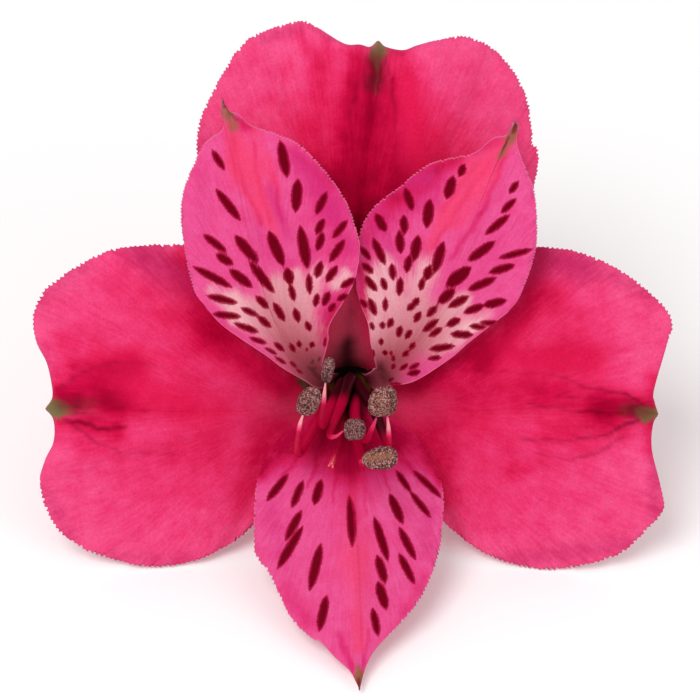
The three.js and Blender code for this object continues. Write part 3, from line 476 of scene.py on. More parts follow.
            (6, -8, 0.5, 8, -10.6, 0.3, 0.5), (-1.2, -27.2, 0.4, 0.2, -31, 0.35, 0.4),
            (2, -26.8, 0.3, 1.35, -30.8, 0.28, 0.35), (-0.2, -28.6, 0.2, 0.45, -30.6, 0.2, 0.3),
        ],
        "warm": [
            (0.4, -12, 1.4, 0.7, -19, 2.4, 0.45), (0.7, -19, 2.4, 1, -28, 1.2, 0.5),
            (0.7, -18, 0.4, 1, -29, 0.4, 0.5),
        ],
        "cool": [(-8.6, -13, 1.4, -7.6, -19, 1.4, 0.45), (9, -13.5, 1.3, 8.2, -18, 1.3, 0.45)],
        "tan": [
            (0.6, -29.2, 0.12, 0.8, -30.8, 0.3, 0.3), (0.75, -30.6, 0.25, 0.95, -31.6, 0.4, 0.5),
            (0.95, -31.6, 0.4, 1, -33.3, 0.6, 1),
        ],
        "crease_shade": [(1, -32.2, 0.25, 1, -33.3, 0.4, 0.8)],
    },
}

# ---- stamens and style ----

STAMEN_RING = 1
THREAD_ROWS = 90
THREAD_SIDES = 24
THROAT_SHADE_TOP = 16.5  # how high the throat's shade reaches, and over how much it fades in
THROAT_SHADE_DEPTH = 4
BARE_FROM_TIP = (3.8, 1.2)  # a filament turns bare of crimson between these gaps from its tip
FILAMENT_EASING = 8
FILAMENT_RADII = [(0, 0.5), (0.3, 0.66), (0.55, 0.62), (0.8, 0.42), (0.92, 0.26), (1, 0.09)]
STYLE_RADII = [(0, 0.28), (0.5, 0.32), (0.8, 0.3), (1, 0.24)]
STYLE_PATH = [
    (0, 0, FOOT_HEIGHT), (-0.05, -0.2, 9), (-0.8, -3.2, 14), (-1.4, -6.6, 18.5), (-1.95, -8.1, 22.2),
]
STYLE_BARE = 0.35
LOBE_TURNS = (90, 210, 330)
LOBE_STARTS = 14  # the lobes begin at this row, counted from the style's end
LOBE_START_OUT = 0.1
LOBE_PATH = [(0.16, 0), (0.2, 0.4), (0.26, 0.75)]  # out from the style's end, and on from it
LOBE_ROWS = 30
LOBE_SIDES = 20
LOBE_RADIUS = 0.19
LOBE_TAPER = 0.5
LOBE_BARE = (0.3, 0.75)  # at its start, and how much more at its end

ANTHER_HALF = np.array([1.25, 0.72, 1.95])  # across, through, along
ANTHER_ROWS = 64
ANTHER_SIDES = 96
ANTHER_END = 0.49 * math.pi
ANTHER_BLUNT = 2.6  # the power of |v| in its outline
ANTHER_BOXY = 0.8  # below 1, its section is fuller than an ellipse
FURROW_HALF = 0.34
FURROW_ENDS = (1, 0.6)  # the furrow begins and is full at these |v|
FURROW_FRONT = 0.42
FURROW_BEHIND = 0.2
FURROW_PALER = 0.4  # how brown the furrow behind is, against the one in front
SEAM_HALF = 0.2
SEAM_ENDS = (1, 0.8)
SEAM_DEPTH = 0.08
MEALY_RELIEF = 0.03

# Each stamen: where its foot stands round the axis, the rest of its path, its anther's middle and
# the ways that the anther runs and faces, how bare of crimson its tip is, how warm and brown the
# anther is, how much wider it is at its top, and how slim. A "shade_top" stands in for
# THROAT_SHADE_TOP.
STAMENS = [
    {
        "stands": 150,
        "path": [
            (-0.9, 0.33, 9), (-2, -1.9, 15), (-2.95, -4, 20), (-2.83, -1.3, 24.3),
            (-2.65, 0.6, 26.2),
        ],
        "anther": (-2.35, 1.97, 28.2), "along": (0.1, 0.55, 0.83), "face": (0.96, -0.1, 0.2),
        "bare": 1, "warm": 0.2, "brown": 0, "taper": 0.15, "slim": 0.78,
    },
    {
        "stands": 210,
        "path": [
            (-0.95, -0.68, 9), (-3.5, -3.6, 15.2), (-5.6, -7.2, 20), (-5.5, -4.4, 24),
            (-5.05, -2.75, 26.4),
        ],
        "anther": (-4.4, -1.3, 28), "along": (0.32, 0.74, 0.59), "face": (0.1, -0.65, 0.75),
        "bare": 1, "warm": 0.6, "brown": 0.2, "taper": 0, "slim": 0.96,
    },
    {
        "stands": 330, "shade_top": 14,
        "path": [
            (0.85, -0.68, 9), (0.5, -3.05, 14.5), (1.6, -5.6, 19.5), (2.3, -4.5, 22.6),
            (2.85, -3.15, 25),
        ],
        "anther": (3.2, -1.4, 26.8), "along": (0.12, 0.78, 0.61), "face": (0, -0.62, 0.78),
        "bare": 0.45, "warm": 1, "brown": 0.2, "taper": -0.2, "slim": 0.96,
    },
    {
        "stands": 90,
        "path": [
            (-0.05, 0.8, 9), (-1, -1.9, 15.5), (-2.2, -4.9, 20.5), (-1.6, -5.2, 23),
            (-0.75, -4.6, 24.2),
        ],
        "anther": (0.5, -4.35, 26.5), "along": (0.5, 0.05, 0.86), "face": (-0.86, 0, 0.5),
        "bare": 0.4, "warm": 0.15, "brown": 0, "taper": 0, "slim": 0.96,
    },
    {
        "stands": 270,
        "path": [
            (-0.05, -1.2, 9), (0.5, -4.7, 14.5), (1.3, -8, 20), (1.2, -7.9, 23.3),
            (1.15, -7.7, 25.8),
        ],
        "anther": (3.2, -7.45, 27), "along": (0.98, 0.12, 0.1), "face": (0, 0.3, 0.95),
        "bare": 0.3, "warm": 0.8, "brown": 1, "taper": 0.18, "slim": 1,
    },
    {
        "stands": 30, "shade_top": 19.5,
        "path": [
            (0.8, 0.33, 9), (2.7, -2.5, 14), (4.1, -6.2, 18.5), (4.2, -4.6, 21.3),
            (4.05, -3.05, 22.9),
        ],
        "anther": (3.95, -1.35, 24.4), "along": (0.04, 0.8, 0.6), "face": (0.1, -0.6, 0.8),
        "bare": 1, "warm": 0.6, "brown": 0.2, "taper": 0, "slim": 0.96,
    },
]

# ---- ovary and stalk ----

OVARY_LENGTH = 7.5
OVARY_RIBS = 6
OVARY_RIB_DEPTH = 0.1
RIBS_FADE_FROM = 4.5
OVARY_PROFILE = [(0, 3.3), (0.7, 3.3), (2, 3.2), (3.8, 2.8), (5.6, 2), (7.5, 1.2), (10, 1)]
PROFILE_EASING = 12
STALK_RADIUS = 1
STALK_STRAIGHT = 25
STALK_RIBS = 18
STALK_RIB_DEPTH = 0.012
STALK_RIB_TURN = 0.4  # radians
STALK_RIBS_FADE = (5, 9)
STALK_SIDES = 60
OVARY_ROWS = 70
BEND_ROWS = 50
STALK_ROWS = 80
DOME_RINGS = np.linspace(0.06, 0.97, 14)  # shares of the disc's radius
DISC_PAINT = 0.35  # how far down past the disc its own colour fades out
# The disc's dark strip and top are painted shade where the throat's core is darkest.
DISC_SHADE_STRIP = (-0.5, 1.6, 0.9)  # the disc's dark strip: its middle's x, where it begins, where full
DISC_SHADE_TOP = (0.9, 1.7)  # the dark also begins and is full at these y
CUT_PAINT = 0.05  # how far up from the stalk's end the cut's colour fades out

# ---- finishes ----

# Colours are red, green and blue from 0 to 255. Grain and noise sizes are patches to the metre,
# and streaks are patches across the UV map.

# depth = middle + weight * crimson mask - fading * outwards ^ fading_power + grain, and the ramp
# turns depth into a colour, so where the crimson mask is painted shade, so is its darker colour.
# "pale" runs up from the claw.
OUTER_LOOK = {
    "streaks": 150.0, "grain_size": 3600.0, "middle": 0.46, "crimson_and_shade": 0.7,
    "fading": 0.38, "fading_power": 1.5,
    "streak_tone": 0.34, "blotch_tone": 0.5, "mottle_tone": 0.5, "rim_share": 0.15,
    "ramp": [
        (0, (245, 90, 146)), (0.25, (238, 62, 121)), (0.45, (230, 42, 98)),
        (0.65, (214, 16, 74)), (0.85, (186, 0, 54)), (1, (158, 0, 42)),
    ],
    "warm": (232, 28, 82), "cool": (196, 36, 98),
    # The pale base darkens towards the foot: painted shade of the throat.
    "pale": [(0, (214, 92, 116)), (0.05, (226, 84, 116)), (0.3, (250, 84, 136))],
    # On the outer tepals "cool" is partly painted shade near the margins and under the inner tepals.
    "green": (128, 118, 78), "tan": (122, 52, 44),
    # The maroon of the folds, below, is painted shade along the folds and the edges near the tips.
    "crease_shade": (116, 2, 36), "rim": (250, 120, 165),
    "mark": (104, 2, 26), "mark_edge": (168, 10, 56), "behind": (236, 120, 150),
}
INNER_LOOK = {
    "streaks": 130.0, "grain_size": 3600.0, "middle": 0.2, "crimson_and_shade": 0.84,
    "fading": 0.02, "fading_power": 1.0,
    "streak_tone": 0.5, "blotch_tone": 0.5, "mottle_tone": 0.36, "rim_share": 0.5,
    "ramp": [
        (0, (240, 98, 162)), (0.3, (233, 72, 138)), (0.55, (222, 50, 118)),
        (0.8, (214, 28, 88)), (1, (184, 4, 60)),
    ],
    "warm": (244, 70, 116), "cool": (216, 48, 126),
    # The pale base darkens towards the foot: painted shade of the throat.
    "pale": [
        (0, (176, 78, 92)), (0.12, (190, 92, 106)), (0.3, (220, 136, 148)), (0.55, (246, 186, 194)),
    ],
    "green": (96, 66, 22), "tan": (160, 100, 72),
    # The maroon of the folds, below, is painted shade along the folds and the edges near the tips.
    "crease_shade": (120, 14, 42), "rim": (242, 146, 182),
    "mark": (116, 1, 26), "mark_edge": (176, 6, 58), "behind": (232, 100, 146),
}

# How a petal's soft colours are laid on. The grain's streaks, blotches and mottle, with these
# weights, are added to the mask or, where it is ragged, multiply it as 1 plus their sum. The colour
# then begins at "low", and is full at "high", where it covers "most" of what is under it.
PETAL_LAYERS = {
    "warm": {"grain": (0.6, 0.4, 0), "ragged": False, "low": 0, "high": 1.05, "most": 0.85},
    "cool": {"grain": (0.6, 0.4, 0), "ragged": False, "low": 0, "high": 1.05, "most": 0.85},
    "pale": {"grain": (0.9, 0.3, 0), "ragged": False, "low": 0.1, "high": 0.95, "most": 1},
    "tan": {"grain": (1.8, 1.2, 1.2), "ragged": True, "low": 0.08, "high": 0.85, "most": 1},
    "green": {"grain": (1.8, 1.2, 1.2), "ragged": True, "low": 0.08, "high": 0.85, "most": 1},
    "crease_shade": {"grain": (0.3, 0.3, 0.5), "ragged": False, "low": 0.06, "high": 0.95, "most": 0.9},
}
RIM_GRAIN = (0.6, 0, 0)
RIM_SPREAD = (0.4, 1)
DASH_GRAIN = (0.24, 0, 0.24)
DASH_HALO = (0.14, -0.04)  # how far from a dash's edge its halo begins and is full
DASH_CORE = (0.02, -0.26)
HALO_SHARE = 0.9
FAINTER_BEHIND = 0.45
BACK_SHARE = 0.3
# The painted shade of the throat: the most of the colour that it covers, and its colour
THROAT_SHADE_SHARE = 0.95
THROAT_SHADE_COLOUR = (24, 7, 6)
LIGHT_THROUGH = 0.2
MOTTLE_RANGE = (-0.3, 0.3)  # the mottle's values from the smoothest to the roughest
PETAL_ROUGHNESS = (0.42, 0.62)

STREAKS_UP = 20.0  # patches along the UV map
BLOTCH_SIZE = 420.0
STREAK_HEIGHT = 0.7
MOTTLE_HEIGHT = 0.5
CELL_HEIGHT = 0.25

THREAD_GRAIN = 2600.0
THREAD_WOBBLE = 0.3
THREAD_SHADE = (36, 1, 9)
FILAMENT_RAMP = [
    (0, (180, 0, 54)), (0.2, (204, 10, 70)), (0.45, (228, 62, 110)), (0.75, (244, 108, 142)),
    (1, (250, 168, 172)),
]
STYLE_RAMP = [(0, (168, 0, 48)), (0.3, (184, 4, 56)), (0.6, (218, 48, 80)), (1, (240, 104, 118))]

POLLEN_GRAINS = 5400.0
POLLEN_NOISE = 2600.0
POLLEN_NOISE_MIDDLE = 0.52
POLLEN_NOISE_WEIGHT = 1.5
POLLEN_GAP_WEIGHT = 1.1
POLLEN_COOL = [(0, (184, 144, 140)), (0.3, (136, 94, 94)), (0.6, (96, 56, 62)), (1, (46, 18, 26))]
POLLEN_BEIGE = [
    (0, (216, 170, 152)), (0.3, (164, 116, 106)), (0.6, (116, 66, 64)), (1, (50, 20, 28)),
]
FURROW_COLOUR = (146, 96, 72)
FURROW_SPREAD = (0.1, 1, 0, 0.7)  # from these values of its mask, it covers these shares
SEAM_COLOUR = (52, 34, 38)
SEAM_SPREAD = (0.3, 1, 0, 0.65)

STALK_STREAKS = (60.0, 9.0, 1.0)  # round it, along it, and unused
STALK_SPECKLE = 3000.0
SPECKLE_HEIGHT = 0.4
RIB_TONE = -0.18
GREEN_RAMP = [(0.2, (150, 176, 96)), (0.5, (104, 138, 62)), (0.8, (66, 98, 40))]
FLUSH_REACH = 2.2
FLUSH_SHARE = 0.45
FLUSH_COLOUR = (168, 84, 84)
CUT_COLOUR = (196, 206, 150)
DISC_COLOUR = (138, 94, 22)
STALK_ROUGHNESS = (0.42, 0.9)  # off and on the disc

rng = np.random.default_rng(11)


# ---- curves and frames ----


def unit(vectors):
    """Vectors divided by their lengths."""
    return vectors / np.maximum(np.linalg.norm(vectors, axis=-1, keepdims=True), 1e-12)


def outward(degrees):
    """The way that an angle round the flower's axis points."""
    return np.array([math.cos(math.radians(degrees)), math.sin(math.radians(degrees)), 0])


def smoothstep(low, high, x):
    """0 up to low, 1 from high on, and 3 u^2 - 2 u^3 between. low may also be the greater one."""
    u = np.clip((x - low) / (high - low), 0, 1)
    return u * u * (3 - 2 * u)


def bell(x, half):
    """1 in the middle and e^-1 at half on either side: exp(-(x / half)^2)."""
    return np.exp(-((x / half) ** 2))


def eased(values, times):
    """Values along a line, each pulled towards its neighbours the given number of times."""
    for _ in range(times):
        values[1:-1] = (values[:-2] + 2 * values[1:-1] + values[2:]) / 4
    return values


def reach_along(line):
    """How far along a line of points each of them is."""
    return np.r_[0, np.cumsum(np.linalg.norm(np.diff(line, axis=0), axis=1))]


def smooth_curve(points, shares):
    """The Catmull-Rom curve through points, with its ends mirrored, at shares of its length."""
    given = np.array(points, float)
    padded = np.vstack([2 * given[0] - given[1], given, 2 * given[-1] - given[-2]])
    u = np.linspace(0, len(given) - 1, CURVE_STEPS * (len(given) - 1) + 1)
    span = np.minimum(u.astype(int), len(given) - 2)
    f = (u - span)[:, None]
    a, b, c, d = (padded[span + k] for k in range(4))
    cubic = 3 * b - a - 3 * c + d
    line = 0.5 * (2 * b + (c - a) * f + (2 * a - 5 * b + 4 * c - d) * f**2 + cubic * f**3)
    reach = reach_along(line)
    wanted = np.asarray(shares) * reach[-1]
    return np.stack([np.interp(wanted, reach, line[:, k]) for k in range(3)], -1)


def bezier(a, b, c, d, s):
    """The cubic Bezier curve with ends a and d and handles b and c, at s from 0 to 1."""
    return (1 - s) ** 3 * a + 3 * (1 - s) ** 2 * s * b + 3 * (1 - s) * s**2 * c + s**3 * d


def in_place(points):
    """The flower's own millimetres as metres in the part's frame: leant back, then set down."""
    lean = math.radians(LEAN_BACK)
    x, y, z = np.moveaxis(np.asarray(points, float), -1, 0)
    leant = np.stack(
        [x, y * math.cos(lean) - z * math.sin(lean), y * math.sin(lean) + z * math.cos(lean)], -1
    )
    return (leant + DISC_MIDDLE) * MM


def seen(points):
    """Where the eye sees points, as x and y on the plane at SHARP_HEIGHT."""
    share = (EYE[2] - SHARP_HEIGHT) / (EYE[2] - points[..., 2])
    return EYE[:2] + (points[..., :2] - EYE[:2]) * share[..., None]


# ---- meshes ----


def new_mesh(name, points, quads, triangles, uv, masks):
    """A smooth mesh object from points in the flower's frame, with quads (m, 4) and triangles
    (k, 3) between them, a UV map "petal" and one float attribute for each mask."""
    mesh = bpy.data.meshes.new(name)
    mesh.vertices.add(len(points))
    mesh.vertices.foreach_set("co", in_place(points).ravel())
    corners = np.concatenate([quads.ravel(), triangles.ravel()]).astype(np.int32)
    after_quads = quads.size + np.arange(0, triangles.size, 3)
    starts = np.concatenate([np.arange(0, quads.size, 4), after_quads])
    mesh.loops.add(len(corners))
    mesh.loops.foreach_set("vertex_index", corners)
    mesh.polygons.add(len(starts))
    mesh.polygons.foreach_set("loop_start", starts.astype(np.int32))
    mesh.update(calc_edges=True)
    mesh.uv_layers.new(name="petal").data.foreach_set("uv", uv[corners].ravel())
    for mask, values in masks.items():
        attribute = mesh.attributes.new(mask, "FLOAT", "POINT")
        attribute.data.foreach_set("value", values.astype(np.float32).ravel())
    mesh.validate()
    mesh.shade_smooth()
    return new_object(name, mesh)


def new_object(name, data):
    """An object of the scene that holds a mesh, a lamp or a camera."""
    holder = bpy.data.objects.new(name, data)
    bpy.context.scene.collection.objects.link(holder)
    return holder


def settle(piece, material, node):
    """Gives a piece its material and slot, and puts it in the place of a solid."""
    piece.data.materials.append(material)
    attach(piece, "root")
    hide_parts(node)


def grid_quads(rows, columns):
    """Quads between neighbours of a grid of numbered points."""
    number = np.arange(rows * columns).reshape(rows, columns)
    corners = [number[:-1, :-1], number[:-1, 1:], number[1:, 1:], number[1:, :-1]]
    return np.stack(corners, -1).reshape(-1, 4)


def closed_sheet(name, front, back, uv, masks, turned):
    """A thin body: the front grid, the back grid turned round, and a rim between their edges.
    masks gives for each name its values on the front and on the back."""
    rows, columns = front.shape[:2]
    count = rows * columns
    number = np.arange(count).reshape(rows, columns)
    quads = grid_quads(rows, columns)
    loop = np.concatenate([number[0], number[1:, -1], number[-1, -2::-1], number[-2:0:-1, 0]])
    following = np.roll(loop, -1)
    rim = np.stack([loop, loop + count, following + count, following], -1)
    faces = np.vstack([quads, quads[:, ::-1] + count, rim])
    if turned:
        faces = faces[:, ::-1]
    points = np.concatenate([front.reshape(-1, 3), back.reshape(-1, 3)])
    both = {mask: np.concatenate([a.ravel(), b.ravel()]) for mask, (a, b) in masks.items()}
    none = np.zeros((0, 3), int)
    return new_mesh(name, points, faces, none, np.tile(uv.reshape(-1, 2), (2, 1)), both)


def tube(middles, radii, sides):
    """Rings (rows, sides, 3) round a path, each square to it, with the given radius: one number
    for each ring, or one for each of its points."""
    tangent = unit(np.gradient(middles, axis=0))
    across = unit(np.array([1.0, 0, 0]) - tangent * tangent[:, :1])
    upward = np.cross(tangent, across)
    angle = np.arange(sides) / sides * 2 * np.pi
    radius = np.broadcast_to(np.asarray(radii).reshape(len(middles), -1), (len(middles), sides))
    ring = np.cos(angle)[:, None] * across[:, None] + np.sin(angle)[:, None] * upward[:, None]
    return middles[:, None] + ring * radius[..., None]


def closed_tubes(name, tubes):
    """One mesh of several bodies. Each is rings joined to the next, with a fan of triangles to the
    middle of each end. tubes holds for each its rings, its share along them, and its masks."""
    points, quads, triangles, uv, masks = [], [], [], [], {}
    first = 0
    for rings, along, values in tubes:
        rows, sides = rings.shape[:2]
        number = first + np.arange(rows * sides).reshape(rows, sides)
        turned = np.roll(number, -1, axis=1)
        start, end = first + rows * sides, first + rows * sides + 1
        corners = [number[:-1], turned[:-1], turned[1:], number[1:]]
        quads.append(np.stack(corners, -1).reshape(-1, 4))
        triangles.append(np.stack([np.full(sides, start), turned[0], number[0]], -1))
        triangles.append(np.stack([np.full(sides, end), number[-1], turned[-1]], -1))
        points.append(np.vstack([rings.reshape(-1, 3), rings[0].mean(0), rings[-1].mean(0)]))
        around = np.stack(np.meshgrid(np.arange(sides) / sides, along), -1).reshape(-1, 2)
        uv.append(np.vstack([around, [0.5, along[0]], [0.5, along[-1]]]))
        for mask, grid in values.items():
            ends = [grid[0].mean(), grid[-1].mean()]
            masks.setdefault(mask, []).append(np.r_[grid.ravel(), ends])
        first += rows * sides + 2
    joined = {mask: np.concatenate(grids) for mask, grids in masks.items()}
    parts = [np.concatenate(part) for part in (points, quads, triangles, uv)]
    return new_mesh(name, *parts, joined)


# ---- the shape of a tepal ----


def across_channel(middle, half_width, curl, sideways, inwards, t):
    """An arc across a channel: t from -1 to 1 turns it by curl degrees either way."""
    turn = math.radians(curl)
    radius = half_width / math.sin(turn)
    return (
        np.asarray(middle, float)
        + radius * np.sin(turn * t)[:, None] * sideways
        + radius * (1 - np.cos(turn * t))[:, None] * inwards
    )


def tepal_channel(tepal, t):
    """The arcs across a tepal's foot and mouth, and the ways that its veins leave them."""
    heading = outward(tepal["heading"])
    flare = math.radians(tepal["flare"])
    leaving = math.sin(flare) * heading + math.cos(flare) * AXIS
    side = outward(tepal["heading"] - 90)
    sign = np.sign((np.array(tepal["back"][-1]) - tepal["out"][0]) @ side)
    inner = np.cross(leaving, sign * side)
    inner *= -np.sign(inner @ heading)
    mouth = across_channel(tepal["mouth"], tepal["width"], tepal["curl"], sign * side, inner, t)
    foot_out = outward(tepal["stands"])
    foot_side = sign * outward(tepal["stands"] - 90)
    foot_middle = tepal["ring"] * foot_out + FOOT_HEIGHT * AXIS
    foot = across_channel(foot_middle, tepal["foot"], tepal["foot_curl"], foot_side, -foot_out, t)
    return foot, unit(AXIS + RISE * foot_out), mouth, leaving


def tepal_middle(tepal, ups, t):
    """The middle surface as (rows, columns, 3). Each vein is a Bezier curve up the claw (0 to 1)
    and another over the blade (1 to 2) to the margin. The outermost veins are pulled on to the
    blade's side curves, and the others by the fourth power of |t| of that."""
    foot, rising, mouth, leaving = tepal_channel(tepal, t)
    length = np.linalg.norm(mouth - foot, axis=1, keepdims=True)
    start_handle = foot + CLAW_START * length * rising
    end_handle = mouth - CLAW_END * length * leaving
    claw = bezier(foot, start_handle, end_handle, mouth, ups[ups <= 1][:, None, None])
    margin = np.where(
        (t < 0)[:, None],
        smooth_curve(tepal["out"], np.clip(1 + t, 0, 1)),
        smooth_curve(tepal["back"], np.clip(t, 0, 1)),
    )
    lift = math.radians(tepal["lift"])
    spread = np.linalg.norm(margin - mouth, axis=1, keepdims=True)
    arriving = unit((margin - mouth) * (1, 1, 0)) * math.cos(lift) + math.sin(lift) * AXIS
    start_handle = mouth + tepal["vein_start"] * spread * leaving
    end_handle = margin - tepal["vein_end"] * spread * arriving
    up = ups[ups > 1] - 1
    blade = bezier(mouth, start_handle, end_handle, margin, up[:, None, None])
    out_side = [mouth[0], *tepal["out_side"], tepal["out"][0]]
    back_side = [mouth[-1], *tepal["back_side"], tepal["back"][-1]]
    for end, side, half in ((0, out_side, t <= 0), (-1, back_side, t > 0)):
        pull = smooth_curve(side, up) - blade[:, end]
        blade = blade + pull[:, None] * (half * np.abs(t) ** SIDE_PULL)[None, :, None]
    return np.concatenate([claw, blade])


def tepal_normals(middle, ups, t):
    """Unit normals of the middle surface, read a little inside its margin."""
    along = np.gradient(middle, ups, axis=0)
    across = np.gradient(middle, t, axis=1)
    normal = unit(np.cross(across, along))
    row = np.searchsorted(ups, np.clip(ups, FOOT_INSET, 2 - NORMAL_INSET))
    column = np.searchsorted(t, np.clip(t, NORMAL_INSET - 1, 1 - NORMAL_INSET))
    return normal[np.minimum(row, len(ups) - 1)][:, np.minimum(column, len(t) - 1)]


def gap_to_edge(middle):
    """Millimetres from each point to the margin in its own column and to both sides in its row."""
    to_margin = np.linalg.norm(middle - middle[-1], axis=-1)
    to_sides = [np.linalg.norm(middle - middle[:, side][:, None], axis=-1) for side in (0, -1)]
    return np.minimum(to_margin, np.minimum(*to_sides))


def gap_to_midrib(middle):
    """Millimetres from each point to the middle column in its row."""
    return np.linalg.norm(middle - middle[:, middle.shape[1] // 2][:, None], axis=-1)


def cut_teeth(middle, tepal, t):
    """Moves the margin to saw teeth. Each takes three columns: its point, which stands out, and
    two that are cut back. The move fades over TOOTH_REACH inwards, and the teeth fade towards the
    tip and the sides."""
    margin = middle[-1]
    tooth, place = np.divmod(np.arange(len(t)), len(TOOTH_CUTS))
    depths = tepal["tooth"] * rng.uniform(*TOOTH_DEPTHS, tooth[-1] + 1) ** 2
    points = depths.mean() * rng.uniform(*TOOTH_POINTS, tooth[-1] + 1)
    stands_out = np.where(place == 0, points[tooth], TOOTH_OUT * depths.mean())
    cut = TOOTH_CUTS[place] * depths[tooth] - stands_out
    cut = cut * smoothstep(*TEETH_PAST_TIP, np.abs(t)) * smoothstep(*TEETH_PAST_SIDE, 1 - np.abs(t))
    edge = unit(np.gradient(margin, axis=0))
    inner = middle[-TOOTH_ROWS] - margin
    inner = unit(inner - (inner * edge).sum(-1, keepdims=True) * edge)
    near = smoothstep(TOOTH_REACH, 0, np.linalg.norm(middle - margin, axis=-1))
    near[: len(middle) // 2] = 0
    return middle + near[..., None] * cut[:, None] * inner


def waves(x, lengths):
    """The mean of sines of the given wave lengths, each with a start of its own."""
    starts = rng.uniform(0, 2 * np.pi, len(lengths))
    return sum(np.sin(2 * np.pi * x / p + a) for p, a in zip(lengths, starts)) / len(lengths)


def tepal_relief(middle, tepal, ups, t):
    """How far the surface stands off its middle, along the normal: a ripple that grows towards
    the margin, folds along the veins, and a groove over the midrib."""
    up = np.clip(ups - 1, 0, 1)[:, None]
    ripple = tepal["ripple"] * waves(reach_along(middle[-1]), RIPPLE_LENGTHS) * up**3
    folds = tepal["fold"] * waves(t, FOLD_LENGTHS) * np.sin(np.pi * np.clip(up, 0.02, 0.98))
    groove = -tepal["groove"] * bell(gap_to_midrib(middle), GROOVE_HALF)
    groove = groove * smoothstep(*GROOVE_PAST_MOUTH, up) * smoothstep(*GROOVE_BEFORE_TIP, up)
    return ripple * smoothstep(*RIPPLE_PAST_MIDRIB, np.abs(t)) + folds + groove


def half_thickness(middle, tepal):
    """Thin at the margin, full a little way in, with a midrib that stiffens the tip."""
    share = MARGIN_THIN + (1 - MARGIN_THIN) * smoothstep(0, THICK_FROM, gap_to_edge(middle))
    to_tip = np.linalg.norm(middle - middle[-1, middle.shape[1] // 2], axis=-1)
    midrib = smoothstep(*TIP_REACH, to_tip) * bell(gap_to_midrib(middle), TIP_RIB_HALF)
    return tepal["thick"] / 2 * share + TIP_THICKENING * midrib


# ---- the marks on a tepal ----


def from_line(spots, x0, y0, x1, y1):
    """How far along a line the nearest place to each spot is, from 0 to 1, and the gap to it."""
    start = np.array([x0, y0])
    line = np.array([x1, y1]) - start
    share = np.clip((spots - start) @ line / (line @ line), 0, 1)
    return share, np.linalg.norm(spots - start - share[..., None] * line, axis=-1)


def dash_distance(spots, dashes):
    """For each spot, millimetres to the nearest dash's edge, below 0 inside it. A dash is a line
    whose half width is 1 - |u|^3 of its greatest, with u from -1 to 1 along it."""
    nearest = np.full(spots.shape[:-1], DASH_FAR)
    for *ends, half in dashes:
        share, gap = from_line(spots, *ends)
        reach = (DASH_FULLNESS * half + DASH_EXTRA) * (1 - np.abs(2 * share - 1) ** 3)
        nearest = np.minimum(nearest, gap - reach)
    return nearest


def airbrush(spots, strokes, joined):
    """Soft strokes: each covers strength times exp(-(gap / half width)^2). Joined ones count
    where they cover most, so that a line in pieces stays even. Of the others, laid over each
    other, what shows through is the product of what each leaves."""
    left = np.ones(spots.shape[:-1])
    for x0, y0, w0, x1, y1, w1, strength in strokes:
        share, gap = from_line(spots, x0, y0, x1, y1)
        open_share = 1 - strength * bell(gap, w0 + (w1 - w0) * share)
        left = np.minimum(left, open_share) if joined else left * open_share
    return 1 - left


def wandering(spots):
    """Spots moved by up to 0.15 mm each way in slow waves, so that lines bend a little."""
    x, y = spots[..., 0], spots[..., 1]
    moves = [
        sum(far * np.sin(with_x * x + with_y * y + start) for far, with_x, with_y, start in sines)
        for sines in (WANDER_ASIDE, WANDER_UPWARD)
    ]
    return spots + np.stack(moves, -1)


def tepal_masks(name, middle, ups):
    """What the petal material reads: the marks as the eye sees them, how near the margin and the
    foot a point is, and which face it is on."""
    spots = seen(middle)
    zeros = np.zeros(middle.shape[:2])
    masks = {}
    for mask in STROKE_KINDS:
        strokes = STROKES[name].get(mask, [])
        value = airbrush(wandering(spots), strokes, joined=mask == "crease_shade")
        # The throat's painted shade lies on the front faces only.
        masks[mask] = (value, zeros if mask == "dark" else value)
    mark = dash_distance(spots, DASHES.get(name, []))
    masks["mark"] = (mark, mark)
    outwards = zeros + np.clip(ups - 1, 0, 1)[:, None]
    masks["outwards"] = (outwards, outwards)
    rim = smoothstep(*RIM_REACH, gap_to_edge(middle))
    if name == "inner_tepal_lower":
        rim = rim * smoothstep(*LOWER_RIM, spots[..., 1])
    masks["rim"] = (rim, rim)
    masks["behind"] = (zeros, zeros + 1)
    return masks


def make_tepal(name, material):
    """One tepal as a closed sheet, thin at its margin, in place of its solid."""
    tepal = TEPALS[name]
    ups = np.r_[
        np.linspace(0, 1, tepal["claw_rows"], endpoint=False),
        1 + np.linspace(0, 1, tepal["blade_rows"]) ** ROW_CROWDING,
    ]
    t = np.linspace(-1, 1, tepal["columns"] + 1)
    middle = tepal_middle(tepal, ups, t)
    normal = tepal_normals(middle, ups, t)
    turned = normal[tepal["claw_rows"], len(t) // 2] @ outward(tepal["heading"]) > 0
    if turned:
        normal = -normal
    masks = tepal_masks(name, middle, ups)
    # The fold strokes are painted shade, and they also dent the surface.
    relief = tepal_relief(middle, tepal, ups, t) - CREASE_DEPTH * masks["crease_shade"][0]
    shaped = cut_teeth(middle, tepal, t) + relief[..., None] * normal
    half = half_thickness(middle, tepal)[..., None] * normal
    uv = np.stack(np.meshgrid(t / 2 + 0.5, ups / 2), -1)
    petal = name.replace("tepal", "petal")
    piece = closed_sheet(petal, shaped + half, shaped - half, uv, masks, turned)
    settle(piece, material, name)


# ---- stamens, style, ovary ----


def grain_field(rows, columns, spread):
    """Seeded random heights on a grid that closes on itself sideways, blurred over spread cells."""
    field = rng.standard_normal((rows, columns))
    for axis in (0, 1):
        for _ in range(spread):
            field = (np.roll(field, 1, axis) + 2 * field + np.roll(field, -1, axis)) / 4
    return field / field.std()


